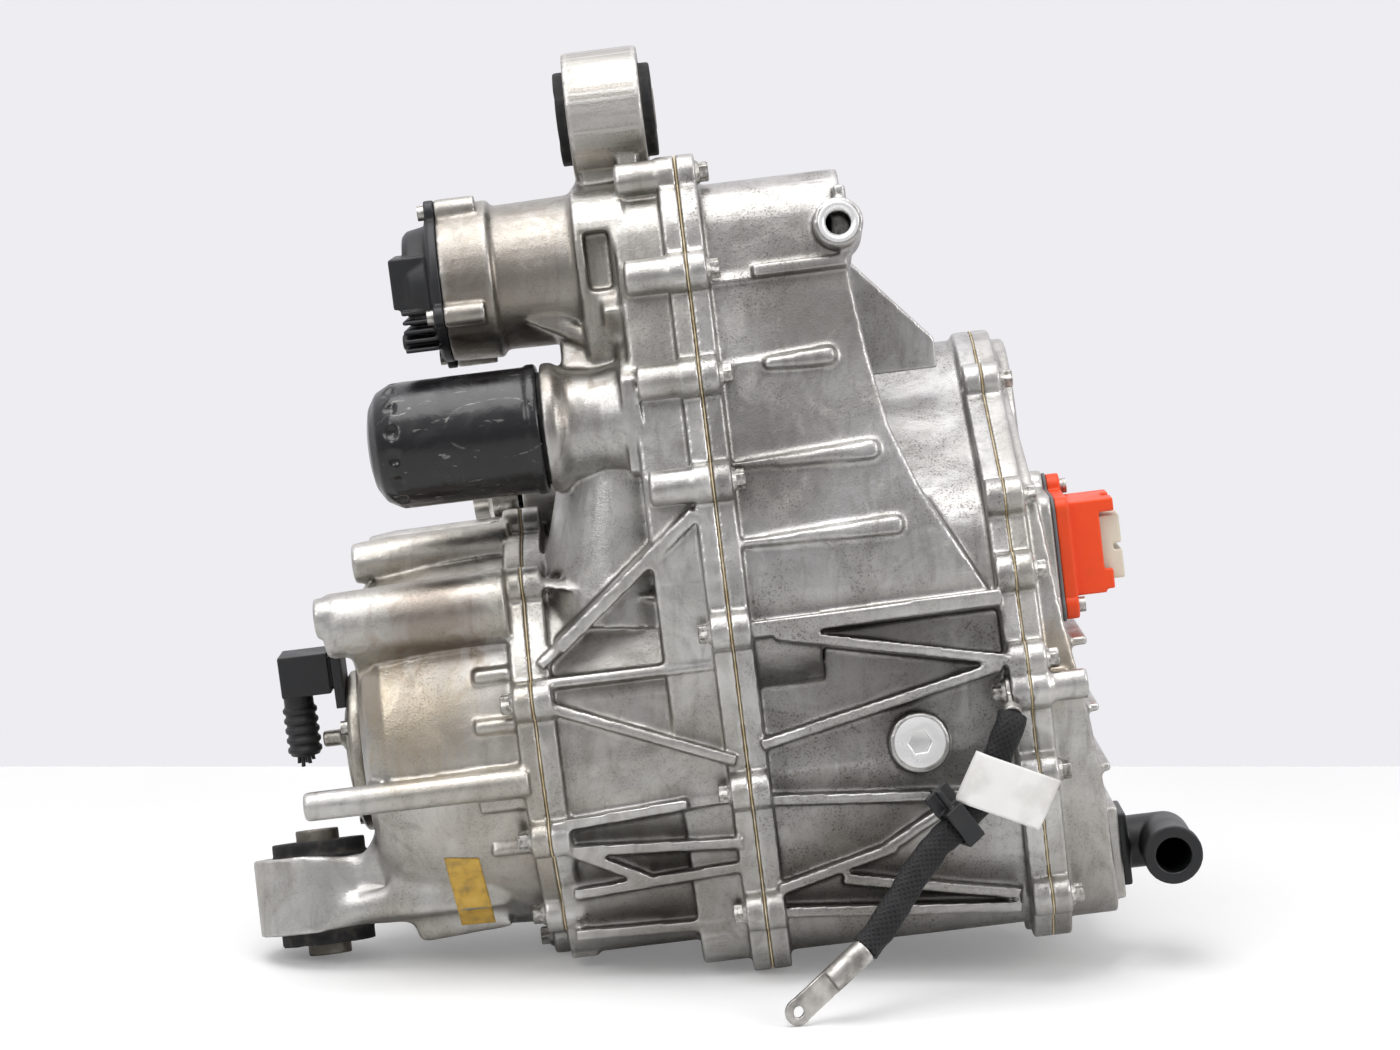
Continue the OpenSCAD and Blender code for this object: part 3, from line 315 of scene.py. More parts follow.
def hollows(mesh):
    n = len(mesh.vertices)
    co, normal = np.empty(n * 3), np.empty(n * 3)
    mesh.vertices.foreach_get("co", co)
    mesh.vertex_normals.foreach_get("vector", normal)
    co, normal = co.reshape(-1, 3), normal.reshape(-1, 3)
    ends, count = links(mesh)
    for label, rounds, size in (("edge", 4, 0.0007), ("pocket", 60, 0.006)):
        lift = ((co - relax(co, ends, count, rounds)) * normal).sum(1) / size
        mesh.attributes.new(label, "FLOAT", "POINT").data.foreach_set("value", np.clip(lift, -1, 1))


def dressed(name, piece, finish, grid, rounds, most, **shape):
    obj = skin(name, piece, grid, rounds, most, **shape)
    obj.data.materials.append(finish)
    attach(obj, "housing")
    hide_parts(piece)
    return obj


# Crimp lugs of the strap: pressed from copper tube and plated with tin, dull silver with grey
# handling marks. The upper one sits under a cover bolt, the lower one hangs free.
def tinned_copper():
    m, t, surface, at = begin("tinned_copper", metallic=1.0)
    smear = noise(t, at["Object"], 90, 6)
    tone = ramp(t, smear, (0.3, "#7d7a76"), (0.52, "#b4b1ac"), (0.7, "#d0cec9"))
    rough = spread(t, smear, 0.3, 0.7, 0.5, 0.26)
    feed(t, surface, tone, rough, smear, 0.0004, 0.4)
    return m


lug = dressed("strap_lugs", "ground_lug", tinned_copper(), 0.0006, 3, 60000)


# Moulded plastics: polyamide or polyester with glass fibre. The mould leaves a fine grain and
# handling leaves paler rubbed edges. In the hollows the colour moves to the dusty tone: grey dust on
# the black mouldings, painted shade on the orange, cream and grey ones.
def moulded(name, base, rubbed, dusty, gloss, grain=0.0011):
    m, t, surface, at = begin(name, specular_ior_level=0.45)
    mottle = noise(t, at["Object"], 45, 6)
    fine = noise(t, at["Object"], 1 / grain, 3)
    edge = kept(t, "edge")
    hollow = kept(t, "pocket")
    lighter_edges = spread(t, edge, 0.15, 0.7, 0.0, 0.6)
    lighter_edges = maths(t, "MULTIPLY", lighter_edges, mottle)
    # Hollows take the dusty tone: dust on the black mouldings, painted shade on the pale ones.
    hollow_tint = spread(t, hollow, -0.05, -0.5, 0.0, 0.7)
    hollow_tint = maths(t, "MULTIPLY", hollow_tint, mottle)
    film = spread(t, mottle, 0.5, 0.8, 0.0, 0.35)
    c = blend(t, film, hue(base), hue(dusty))
    c = blend(t, hollow_tint, c, hue(dusty))
    c = blend(t, lighter_edges, c, hue(rubbed))
    rough = spread(t, mottle, 0.3, 0.7, gloss, gloss + 0.18)
    feed(t, surface, c, rough, fine, 0.00012, 0.5)
    return m


black_nylon = moulded("glass_filled_nylon_black", "#191a1c", "#55565a", "#3a3936", 0.38)
clip = dressed("strap_clip_moulding", "strap_clip", black_nylon, 0.0006, 2, 30000)


# Paper tag: a blank white label of thermal paper, satin, a little crumpled and smudged.
# One sheet, bowed over the front of the strap and curled back at its near edge.
def thermal_paper():
    m, t, surface, at = begin("thermal_paper", roughness=0.5, specular_ior_level=0.3)
    crease = noise(t, at["Object"], 70, 3)
    smudge = noise(t, at["Object"], 28, 5)
    tone = ramp(t, smudge, (0.3, "#cfccc6"), (0.5, "#ecebe8"), (0.7, "#f2f1ef"))
    feed(t, surface, tone, bump=crease, depth=0.0015, strength=0.5)
    return m


label_thick = 0.0003
tag_long, tag_tall, tag_start = 0.051, 0.031, -0.013


def tag_mesh(columns=28, rows=18):
    bm = bmesh.new()
    low, high = strap_route[6], strap_route[3]
    up = (high - low).normalized()
    side = up.cross(bench_y).normalized() * -1
    out = side.cross(up).normalized()
    if out.y > 0:
        out.negate()
    mid = (low + high) / 2 + out * (strap_thick + 0.0014)
    grid = []
    for i in range(columns + 1):
        row = []
        for j in range(rows + 1):
            s, h = i / columns, j / rows
            a = tag_start + s * tag_long
            bow = 0.0016 * math.cos(a / 0.011) if a < 0.014 else 0.0012 * math.sin((a - 0.014) * 95)
            curl = -0.004 * max(0.0, (-0.004 - a) / 0.009) ** 1.5
            row.append(bm.verts.new(mid + side * a + up * (h - 0.5) * tag_tall
                                    + out * (bow + curl) + up * 0.004 * (s - 0.4)))
        grid.append(row)
    for i in range(columns):
        for j in range(rows):
            bm.faces.new((grid[i][j], grid[i + 1][j], grid[i + 1][j + 1], grid[i][j + 1]))
    return meshed(bm, "paper_tag")


tag = place("paper_tag", tag_mesh(), thermal_paper())
wall = tag.modifiers.new("thickness", "SOLIDIFY")
wall.thickness, wall.offset = label_thick, 0.0
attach(tag, "housing")


# Studio: a plain pale floor, a white surround and broad soft lamps. Metal sees a surround that is
# white behind and above and greyer on the camera's side, as a room round a white table is.
def floor_paint():
    m, t, surface, at = begin("floor_paint", roughness=0.55)
    cloud = noise(t, at["Object"], 3, 4)
    feed(t, surface, ramp(t, cloud, (0.3, "#ececeb"), (0.7, "#f3f3f3")))
    seen = add(t, "ShaderNodeLightPath").outputs["Is Camera Ray"]
    lift = maths(t, "MULTIPLY", seen, 0.2)
    surface.inputs["Emission Color"].default_value = hue("#f4f4f4")
    t.links.new(lift, surface.inputs["Emission Strength"])
    return m


floor_reach, floor_back = 4, 0.56
sheet = bpy.data.meshes.new("studio_floor")
sheet.from_pydata([(-floor_reach, -floor_reach, 0), (floor_reach, -floor_reach, 0),
                   (floor_reach, floor_back, 0), (-floor_reach, floor_back, 0)], [], [(0, 1, 2, 3)])
floor = place("studio_floor", sheet, floor_paint(), smooth=False)

world = bpy.data.worlds.new("white_room")
world.use_nodes = True
scene.world = world
t = world.node_tree
path = add(t, "ShaderNodeLightPath").outputs
seen = maths(t, "MAXIMUM", path["Is Camera Ray"], path["Is Transmission Ray"])
around = add(t, "ShaderNodeTexCoord").outputs["Generated"]
toward = add(t, "ShaderNodeSeparateXYZ", {0: around}).outputs
behind = spread(t, toward[1], -0.75, 0.5, 0.52, 0.95)
above = spread(t, toward[2], 0.1, 0.9, 0.0, 0.8)
sides = maths(t, "ADD", behind, above)
mirrored = add(t, "ShaderNodeMix", {0: path["Is Glossy Ray"], 2: 0.42, 3: sides}).outputs[0]
shine = add(t, "ShaderNodeMix", {0: seen, 2: mirrored, 3: 1.0}).outputs[0]
t.links.new(shine, t.nodes["Background"].inputs["Strength"])
t.nodes["Background"].inputs["Color"].default_value = hue("#eeedf1")

lamp_aim = Vector((0, 0, 0.25))
for name, at, size, watts in (("lamp_above", (-0.3, -0.5, 2.1), 1.6, 30),
                              ("lamp_front", (-1.6, -1.9, 1.7), 1.0, 14),
                              ("lamp_right", (1.9, -1.1, 1.2), 1.0, 15)):
    bulb = bpy.data.lights.new(name, "AREA")
    bulb.size, bulb.energy = size, watts
    lamp = bpy.data.objects.new(name, bulb)
    lamp.location = at
    lamp.rotation_euler = (lamp_aim - Vector(at)).to_track_quat("-Z", "Y").to_euler()
    scene.collection.objects.link(lamp)


# Castings: the four housings are pressure die cast in aluminium silicon alloy. The skin is pale and
# satin with grey flow clouds and dark pores. The hollows are painted a darker brown grey as painted
# shade, and the edges are painted lighter: rubbed edges and a painted highlight along them.
def away(tree, point, centre):
    return add(tree, "ShaderNodeVectorMath", {0: point, 1: centre},
               operation="DISTANCE").outputs["Value"]


def die_cast(name, base, cloudy, film, film_share, pores, seed, stains=()):
    m, t, surface, at = begin(name)
    shift = add(t, "ShaderNodeMapping", {"Vector": at["Object"],
                                         "Location": (seed, seed * 0.7, 0)}).outputs[0]
    cloud = noise(t, shift, 22, 8, Roughness=0.62, Distortion=0.9)
    drag = add(t, "ShaderNodeMapping", {"Vector": shift, "Scale": (1.0, 1.0, 0.22)}).outputs[0]
    streak = noise(t, drag, 75, 6, Distortion=1.4)
    grit = noise(t, shift, 760, 4)
    patch = noise(t, shift, 11, 4)
    grain = noise(t, shift, 1300, 2)
    edge = kept(t, "edge")
    hollow = kept(t, "pocket")
    wide = spread(t, cloud, 0.38, 0.64, 0.0, 1.0)
    c = blend(t, wide, hue(base), hue(cloudy))
    run = spread(t, streak, 0.5, 0.72, 0.0, 0.5)
    c = blend(t, run, c, hue("#84817c"))
    area = spread(t, patch, 0.44, 0.6, 0.0, film_share)
    c = blend(t, area, c, hue(film))
    bloom = noise(t, shift, 40, 8, Roughness=0.72, Distortion=0.8)
    oxide = spread(t, bloom, 0.5, 0.66, 0.0, 1.0)
    c = blend(t, maths(t, "MULTIPLY", oxide, 0.4), c, hue("#bcb9b2"))
    grease = spread(t, bloom, 0.44, 0.3, 0.0, 0.45)
    c = blend(t, grease, c, hue("#77736b"))
    metal = spread(t, oxide, 0.0, 1.0, 0.95, 0.76)
    t.links.new(metal, surface.inputs["Metallic"])
    for centre, reach, colour, share in stains:
        far = away(t, at["Object"], centre)
        ragged = maths(t, "MULTIPLY_ADD", streak, reach * 1.6, far)
        ragged = maths(t, "MULTIPLY_ADD", cloud, reach * 1.2, ragged)
        cover = spread(t, ragged, reach * 2.45, reach * 1.85, 0.0, share)
        c = blend(t, cover, c, hue(colour))
    dots = spread(t, grit, 0.52, 0.68, 0.0, pores)
    crowd = spread(t, cloud, 0.42, 0.6, 0.15, 1.0)
    dots = maths(t, "MULTIPLY", dots, crowd)
    c = blend(t, dots, c, hue("#5a5650"))
    # Hollows darkened towards brown grey: painted shade.
    deep = spread(t, hollow, -0.03, -0.6, 0.0, 0.4)
    deep = add(t, "ShaderNodeMath", {0: deep, 1: cloud}, operation="MULTIPLY",
               use_clamp=True).outputs[0]
    c = blend(t, deep, c, hue("#4a443c"))
    # Convex edges lightened: rubbed edges, and a painted highlight along them.
    lighter_edges = spread(t, edge, 0.15, 0.8, 0.0, 0.4)
    c = blend(t, lighter_edges, c, hue("#e2e1de"))
    rough = spread(t, cloud, 0.3, 0.7, 0.26, 0.42)
    rough = maths(t, "MULTIPLY_ADD", dots, 0.25, rough)
    rough = maths(t, "MULTIPLY_ADD", oxide, 0.14, rough)
    height = maths(t, "ADD", grain, grit)
    height = maths(t, "MULTIPLY_ADD", cloud, 4.0, height)
    feed(t, surface, c, rough, height, 0.0002, 0.55)
    return m


sealants = ("left_gasket", "centre_gasket", "right_gasket")
seams = []
for seam in sealants:
    reach = [(level @ v.co).x for v in nodes[seam].data.vertices]
    seams += [min(reach), max(reach)]
blends = {
    "left_housing": (((-0.222, -0.05, -0.062), 0.055, 60), ((-0.236, -0.066, -0.07), 0.04, 110),
                     ((-0.19, -0.06, -0.1), 0.055, 40)),
    "centre_housing": (((-0.04, 0.0, 0.312), 0.03, 40), ((-0.06, -0.07, 0.235), 0.04, 20)),
    "right_housing": (((0.086, -0.12, 0.255), 0.03, 14), ((0.06, -0.12, 0.215), 0.06, 9),
                      ((0.06, -0.125, 0.17), 0.07, 9), ((0.07, -0.125, 0.125), 0.07, 9))}


# Walls cast in one with the housings, in the same aluminium: the back wall of the right housing's
# web and the case wall's end beside it, the upper half of the centre housing's long brace, and the
# gusset between the left drum and its arm's eye. Outlines are x and z in the unit's own frame.
def band(bm, low, high):
    for i in range(len(low)):
        j = (i + 1) % len(low)
        bm.faces.new((low[i], low[j], high[j], high[i]))


def slab(name, outline, near, far, slope=0.0):
    bm = bmesh.new()
    start = outline[0][0]
    rows = [[bm.verts.new(stand((x, near + slope * (x - start), z))) for x, z in outline],
            [bm.verts.new(stand((x, far, z))) for x, z in outline]]
    bm.faces.new(rows[0])
    bm.faces.new(rows[1])
    band(bm, *rows)
    return meshed(bm, name)


walls = {
    "right_housing": (
        slab("web_back", ((0.088, 0.25), (0.0925, 0.25), (0.097, 0.211), (0.104, 0.169),
                          (0.118, 0.13), (0.129, 0.109), (0.088, 0.109)), -0.0815, -0.0736),
        slab("wall_end", ((0.0867, 0.25), (0.0938, 0.25), (0.0938, 0.109), (0.0867, 0.109)),
             -0.0815, -0.064)),
    "centre_housing": (
        slab("brace", ((-0.1025, 0.0677), (-0.0145, 0.1379), (-0.0095, 0.1317), (-0.0975, 0.0615)),
             -0.117, -0.085, slope=-0.105),),
    "left_housing": (
        slab("gusset_front", ((-0.238, -0.052), (-0.226, -0.042), (-0.2145, -0.016),
                              (-0.2145, -0.092), (-0.238, -0.092)), -0.069, -0.06),
        slab("gusset_back", ((-0.229, -0.046), (-0.222, -0.036), (-0.2145, -0.014),
                             (-0.2145, -0.092), (-0.229, -0.092)), -0.061, -0.045))}
casting_grid, casting_faces = 0.0014, 195000
castings = {}
for node_name, finish in (
        ("left_housing", ("#bcbbb8", "#a3a19c", "#a89f8f", 0.4, 0.35, 0.0, (
            ((-0.185, -0.135, 0.16), 0.045, "#a3957d", 0.55),
            ((-0.17, -0.12, 0.215), 0.04, "#7d7064", 0.7),
            ((-0.214, -0.11, 0.165), 0.03, "#ab9e88", 0.5),
            ((-0.1, -0.14, 0.06), 0.03, "#8d8478", 0.5)))),
        ("centre_housing", ("#c0bfbc", "#9f9e9b", "#948f86", 0.35, 0.4, 3.1, (
            ((-0.15, -0.11, 0.365), 0.09, "#5f564b", 0.75),
            ((-0.15, -0.1, 0.43), 0.09, "#827b71", 0.65),
            ((-0.09, -0.1, 0.41), 0.06, "#8f8a82", 0.5),
            ((-0.075, -0.075, 0.515), 0.085, "#8a857d", 0.65),
            ((-0.03, -0.13, 0.05), 0.06, "#69635b", 0.5)))),
        ("right_housing", ("#bebdbb", "#9a9997", "#8b8680", 0.3, 0.75, 6.7, (
            ((0.015, -0.135, 0.31), 0.05, "#6c6965", 0.6),
            ((0.05, -0.12, 0.4), 0.045, "#74706a", 0.6),
            ((0.085, -0.125, 0.185), 0.05, "#74706a", 0.3),
            ((0.09, -0.13, 0.05), 0.08, "#6f6a62", 0.45)))),
        ("end_cover", ("#c6c5c1", "#a8a6a2", "#9b9488", 0.3, 0.3, 9.4, (
            ((0.2, -0.12, 0.04), 0.05, "#68625a", 0.5),
            ((0.19, -0.127, 0.19), 0.03, "#8a7350", 0.5))))):
    castings[node_name] = dressed(
        node_name + "_casting", node_name, die_cast("die_cast_" + node_name, *finish),
        casting_grid, 3, casting_faces, crisp=seams, soft=blends.get(node_name, ()),
        extra=walls.get(node_name, ()))


# Sealant: a bead of tan silicone paste, laid on each joint face before the castings are bolted
# together and pressed out to a thin uneven line at the seam.
def coat(piece, finish):
    nodes[piece].data.materials.clear()
    nodes[piece].data.materials.append(finish)


def silicone():
    m, t, surface, at = begin("tan_silicone", roughness=0.6)
    lump = noise(t, at["Object"], 130, 4)
    tone = ramp(t, lump, (0.35, "#a8946c"), (0.55, "#cbbb98"), (0.7, "#d9cdb3"))
    feed(t, surface, tone, bump=lump, depth=0.0006, strength=0.6)
    return m


tan_silicone = silicone()
for seam in sealants:
    coat(seam, tan_silicone)


# Flange bolts: M8 steel bolts with external star heads on a flange, zinc flake coated, dull grey
# with rubbed corners. One row of points for each seam, read from the CAD bolts.
def zinc_flake():
    m, t, surface, at = begin("zinc_flake_steel", metallic=0.9)
    fleck = noise(t, at["Object"], 420, 4)
    rust = noise(t, at["Object"], 60, 5)
    tone = ramp(t, fleck, (0.35, "#86837e"), (0.6, "#c2c0bb"))
    spot = spread(t, rust, 0.55, 0.7, 0.0, 0.5)
    rough = spread(t, fleck, 0.3, 0.7, 0.3, 0.5)
    feed(t, surface, blend(t, spot, tone, hue("#5f564a")), rough, fleck, 0.0002, 0.4)
    return m


axle = Vector((math.cos(lean), 0, math.sin(lean)))
flange_rim = 0.0072


def bolts_of(node_name):
    bm = solid_of(node_name)
    left, found = set(bm.verts), []
    while left:
        stack, island = [left.pop()], []
        while stack:
            v = stack.pop()
            island.append(v.co.copy())
            for e in v.link_edges:
                w = e.other_vert(v)
                if w in left:
                    left.remove(w)
                    stack.append(w)
        found.append(island)
    bm.free()
    out = []
    for island in found:
        x = [p.dot(axle) for p in island]
        off = [p - axle * p.dot(axle) for p in island]
        centre = sum((o for o in off), Vector()) / len(off)
        far = [i for i, o in enumerate(off) if (o - centre).length > flange_rim]
        seat = sorted(x[i] for i in far)
        way = 1 if max(x) - seat[-1] < seat[0] - min(x) else -1
        out.append((centre + axle * (seat[0] if way > 0 else seat[-1]), axle * way))
    return out


def star_bolts():
    g = bpy.data.node_groups.new("star_bolts", "GeometryNodeTree")
    g.interface.new_socket("Geometry", in_out="INPUT", socket_type="NodeSocketGeometry")
    sizes = {}
    for label, default in (("Head Radius", 0.0062), ("Head Height", 0.0068),
                           ("Flange Radius", 0.0075), ("Flange Height", 0.0022),
                           ("Shank Radius", 0.004)):
        s = g.interface.new_socket(label, in_out="INPUT", socket_type="NodeSocketFloat")
        s.default_value = default
        sizes[label] = s.identifier
    s = g.interface.new_socket("Finish", in_out="INPUT", socket_type="NodeSocketMaterial")
    sizes["Finish"] = s.identifier
    g.interface.new_socket("Geometry", in_out="OUTPUT", socket_type="NodeSocketGeometry")
    i = add(g, "NodeGroupInput").outputs
    valley = maths(g, "MULTIPLY", i["Head Radius"], 0.8)
    star = add(g, "GeometryNodeCurveStar", {"Points": 6, "Inner Radius": valley,
                                            "Outer Radius": i["Head Radius"]}).outputs["Curve"]
    star = add(g, "GeometryNodeFilletCurve", {"Curve": star, "Radius": 0.0011, "Count": 3},
               mode="POLY").outputs[0]
    face = add(g, "GeometryNodeFillCurve", {"Curve": star}, mode="NGONS").outputs[0]
    up = add(g, "ShaderNodeCombineXYZ", {2: 1.0}).outputs[0]

    def extrude(mesh, height, **chosen):
        return add(g, "GeometryNodeExtrudeMesh", {"Mesh": mesh, "Offset": up, "Offset Scale": height,
                                                  "Individual": False, **chosen}).outputs

    def shrink(faces, scale):
        return add(g, "GeometryNodeScaleElements", {"Geometry": faces["Mesh"], "Scale": scale,
                                                    "Selection": faces["Top"]}).outputs[0]

    rise = extrude(face, i["Head Height"])
    crown = extrude(rise["Mesh"], 0.0007, Selection=rise["Top"])
    dish = extrude(shrink(crown, 0.84), 0.0, Selection=crown["Top"])
    dent = extrude(shrink(dish, 0.6), -0.0012, Selection=dish["Top"])["Mesh"]
    flange = add(g, "GeometryNodeMeshCone", {"Vertices": 28, "Radius Top": i["Head Radius"],
                                             "Radius Bottom": i["Flange Radius"],
                                             "Depth": i["Flange Height"]}).outputs["Mesh"]
    shank = add(g, "GeometryNodeMeshCylinder", {"Vertices": 20, "Radius": i["Shank Radius"],
                                                "Depth": 0.018}).outputs["Mesh"]
    shank = add(g, "GeometryNodeTransform", {"Geometry": shank,
                                             "Translation": (0, 0, -0.0085)}).outputs[0]
    whole = add(g, "GeometryNodeJoinGeometry").inputs[0]
    for part in (dent, flange, shank):
        g.links.new(part, whole)
    way = add(g, "GeometryNodeInputNamedAttribute", {"Name": "way"},
              data_type="FLOAT_VECTOR").outputs[0]
    spin = add(g, "GeometryNodeInputNamedAttribute", {"Name": "spin"}, data_type="FLOAT").outputs[0]
    turn = add(g, "FunctionNodeAxisAngleToRotation", {"Axis": (0, 0, 1), "Angle": spin}).outputs[0]
    aim = add(g, "FunctionNodeAlignRotationToVector", {"Vector": way}, axis="Z").outputs[0]
    both = add(g, "FunctionNodeRotateRotation", {"Rotation": aim, "Rotate By": turn},
               rotation_space="LOCAL").outputs[0]
    sown = add(g, "GeometryNodeInstanceOnPoints", {"Points": i["Geometry"], "Rotation": both,
                                                   "Instance": whole.node.outputs[0]}).outputs[0]
    real = add(g, "GeometryNodeRealizeInstances", {0: sown}).outputs[0]
    real = add(g, "GeometryNodeSetMaterial", {"Geometry": real, "Material": i["Finish"]}).outputs[0]
    add(g, "NodeGroupOutput", {0: real})
    return g, sizes


bolt_tree, bolt_sizes = star_bolts()
zinc_steel = zinc_flake()
golden_turn, whole_turn = 2.39996, 6.2832


def spots_object(name, spots):
    mesh = bpy.data.meshes.new(name)
    mesh.from_pydata([tuple(p) for p, _ in spots], [], [])
    mesh.attributes.new("way", "FLOAT_VECTOR", "POINT")
    mesh.attributes.new("spin", "FLOAT", "POINT")
    for k, (_, d) in enumerate(spots):
        mesh.attributes["way"].data[k].vector = d
        mesh.attributes["spin"].data[k].value = (k * golden_turn) % whole_turn
    return place(name, mesh)


def grown(obj, tree, values):
    mod = obj.modifiers.new("grow", "NODES")
    mod.node_group = tree
    for key, value in values.items():
        mod[key] = value
    bake(obj)
    return obj


for row in ("left_flange_bolts", "centre_flange_bolts", "cover_bolts"):
    bolts = grown(spots_object(row + "_star", bolts_of(row)), bolt_tree,
                  {bolt_sizes["Finish"]: zinc_steel})
    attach(bolts, "housing")
    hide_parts(row)

# Small screws: M5 steel screws that hold the end cap, the oil pump cover and the connector.
# They have the same zinc flake coating as the flange bolts.
coat("small_screws", zinc_steel)

# Motor end cap: a die cast aluminium lid over the rotor position sensor, with a threaded stud.
# Beside it are the sensor's connector and plug in black nylon, with a cut piece of conduit.
end_cap_metal = die_cast("die_cast_end_cap", "#b0ada5", "#96938b", "#8a7f6e", 0.5, 0.4, 12.0)
dressed("motor_end_cap_lid", "motor_end_cap", end_cap_metal, 0.0011, 2, 50000)
for piece in ("sensor_connector", "sensor_plug"):
    dressed(piece + "_moulding", piece, black_nylon, 0.0007, 2, 60000)

# Cut wires: five thin wires in black insulation, snipped off just below the conduit's end and
# a little splayed. Each has its place in the conduit, its splay and its length below it, in mm.
wire_rows = ((-3.6, -1.5, -0.12, 4.5), (-1.2, -3.4, -0.08, 6.5), (1.6, -2.6, 0.1, 5.0),
             (3.4, 0.6, 0.16, 3.5), (-0.4, 2.6, 0.05, 5.5))
conduit_at = Vector((-266, -14, 0))
wire_top, conduit_mouth = 10, 4


def wire_ends(name, radius, sides=8, steps=6):
    bm = bmesh.new()
    for x, y, tilt, fall in wire_rows:
        rings = []
        for step in range(steps + 1):
            down = step / steps
            way = Vector((x + tilt * fall * down ** 2 * 1.4, y * (1 + 0.3 * down),
                          wire_top - (wire_top - conduit_mouth + fall) * down))
            row = []
            for i in range(sides):
                a = 2 * math.pi * i / sides
                rim = Vector((radius * math.cos(a), radius * math.sin(a), 0))
                row.append(bm.verts.new(stand((way + rim + conduit_at) / 1000)))
            rings.append(row)
        for low, high in zip(rings, rings[1:]):
            band(bm, low, high)
        bm.faces.new(rings[0])
        bm.faces.new(rings[-1])
    return meshed(bm, name)


wires = place("plug_wire_ends", wire_ends("plug_wire_ends", 1.25), black_nylon)
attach(wires, "housing")

# Oil pump cover: closes the motor end of the electric oil pump. It is moulded in black nylon and
# screwed to the pump's barrel on the centre housing.
dressed("oil_pump_cover_moulding", "oil_pump_cover", black_nylon, 0.0009, 2, 90000)


# Oil filter: a deep drawn steel can with a fluted end for the wrench, screwed to its pad. The black
# enamel is scuffed to grey primer and smeared by oily hands.
def can_enamel():
    m, t, surface, at = begin("black_enamel_steel", specular_ior_level=0.5)
    smear = noise(t, at["Object"], 32, 6, Distortion=1.5)
    turn = add(t, "ShaderNodeMapping", {"Vector": at["Object"], "Rotation": (0.4, 0.7, 0.2),
                                        "Scale": (1, 9, 1)}).outputs[0]
    line = noise(t, turn, 90, 3)
    edge = kept(t, "edge")
    scuff = spread(t, line, 0.66, 0.72, 0.0, 0.5)
    scuff = maths(t, "MULTIPLY", scuff, smear)
    drift = noise(t, at["Object"], 26, 2)
    squat = add(t, "ShaderNodeMapping", {"Vector": at["Object"], "Scale": (0.72, 1, 1.25)}).outputs[0]
    for spot, reach, fine in (((-0.0945, -0.1348, 0.4121), 0.0205, 0.0009),
                              ((-0.136, -0.13, 0.425), 0.009, 0.0007)):
        far = away(t, squat, spot)
        bent = maths(t, "MULTIPLY_ADD", drift, 0.02, far)
        off = maths(t, "SUBTRACT", bent, reach + 0.01)
        off = maths(t, "ABSOLUTE", off)
        loop = spread(t, off, fine, fine * 0.2, 0.0, 0.6)
        worn = spread(t, line, 0.46, 0.66, 0.0, 0.7)
        loop = maths(t, "MULTIPLY", loop, worn)
        scuff = maths(t, "MAXIMUM", scuff, loop)
    haze = spread(t, smear, 0.5, 0.8, 0.0, 0.3)
    c = blend(t, haze, hue("#0f0f11"), hue("#3a393b"))
    c = blend(t, scuff, c, hue("#c4c1bb"))
    lighter_edges = spread(t, edge, 0.2, 0.8, 0.0, 0.5)
    c = blend(t, lighter_edges, c, hue("#8f8c86"))
    rough = spread(t, smear, 0.3, 0.7, 0.12, 0.34)
    feed(t, surface, c, rough, smear, 0.0016, 0.35)
    return m


dressed("oil_filter_can", "oil_filter", can_enamel(), 0.0011, 3, 90000)


# Bushings: natural rubber blocks, bonded to a steel sleeve and pressed into the castings' eyes.
# They carry the unit. Road dust settles in their hollows.
def bonded_rubber():
    m, t, surface, at = begin("bonded_rubber", roughness=0.72, specular_ior_level=0.35)
    dust = noise(t, at["Object"], 110, 6)
    hollow = kept(t, "pocket")
    tone = ramp(t, dust, (0.35, "#151516"), (0.55, "#232324"), (0.75, "#4a463f"))
    hollow_tint = spread(t, hollow, 0.0, -0.5, 0.0, 0.5)
    feed(t, surface, blend(t, hollow_tint, tone, hue("#57514a")), bump=dust, depth=0.0005, strength=0.5)
    return m


rubber = bonded_rubber()
for piece in ("upper_bushing_rubber", "lower_bushing_rubber"):
    dressed(piece + "_block", piece, rubber, 0.001, 2, 60000)


# Bushing sleeves: turned steel tubes, phosphated, bonded into the rubber. Like all turned metal
# here they show fine turning rings under a thin film of oil.
def turned_metal(name, base, dull, gloss, metal=1.0):
    m, t, surface, at = begin(name, metallic=metal)
    ring = add(t, "ShaderNodeMapping", {"Vector": at["Object"], "Rotation": (0, lean, 0),
                                        "Scale": (1, 0.04, 0.04)}).outputs[0]
    lathe = noise(t, ring, 1500, 2)
    film = noise(t, at["Object"], 55, 6)
    veil = spread(t, film, 0.4, 0.7, 0.0, 0.9)
    rough = spread(t, film, 0.3, 0.7, gloss, gloss + 0.2)
    feed(t, surface, blend(t, veil, hue(base), hue(dull)), rough, lathe, 0.00006, 0.5)
    return m


sleeve_steel = turned_metal("phosphated_sleeve_steel", "#8c8880", "#5d574e", 0.4)
for piece in ("upper_bushing_sleeve", "lower_bushing_sleeve"):
    dressed(piece + "_tube", piece, sleeve_steel, 0.0008, 2, 50000)

# Left output: the stub that takes the drive shaft, turned and ground bright from steel.
# It turns with the differential's left side gear.
bright_steel = turned_metal("ground_steel", "#eceae6", "#c9c7c1", 0.14)
coat("left_output_shaft", bright_steel)


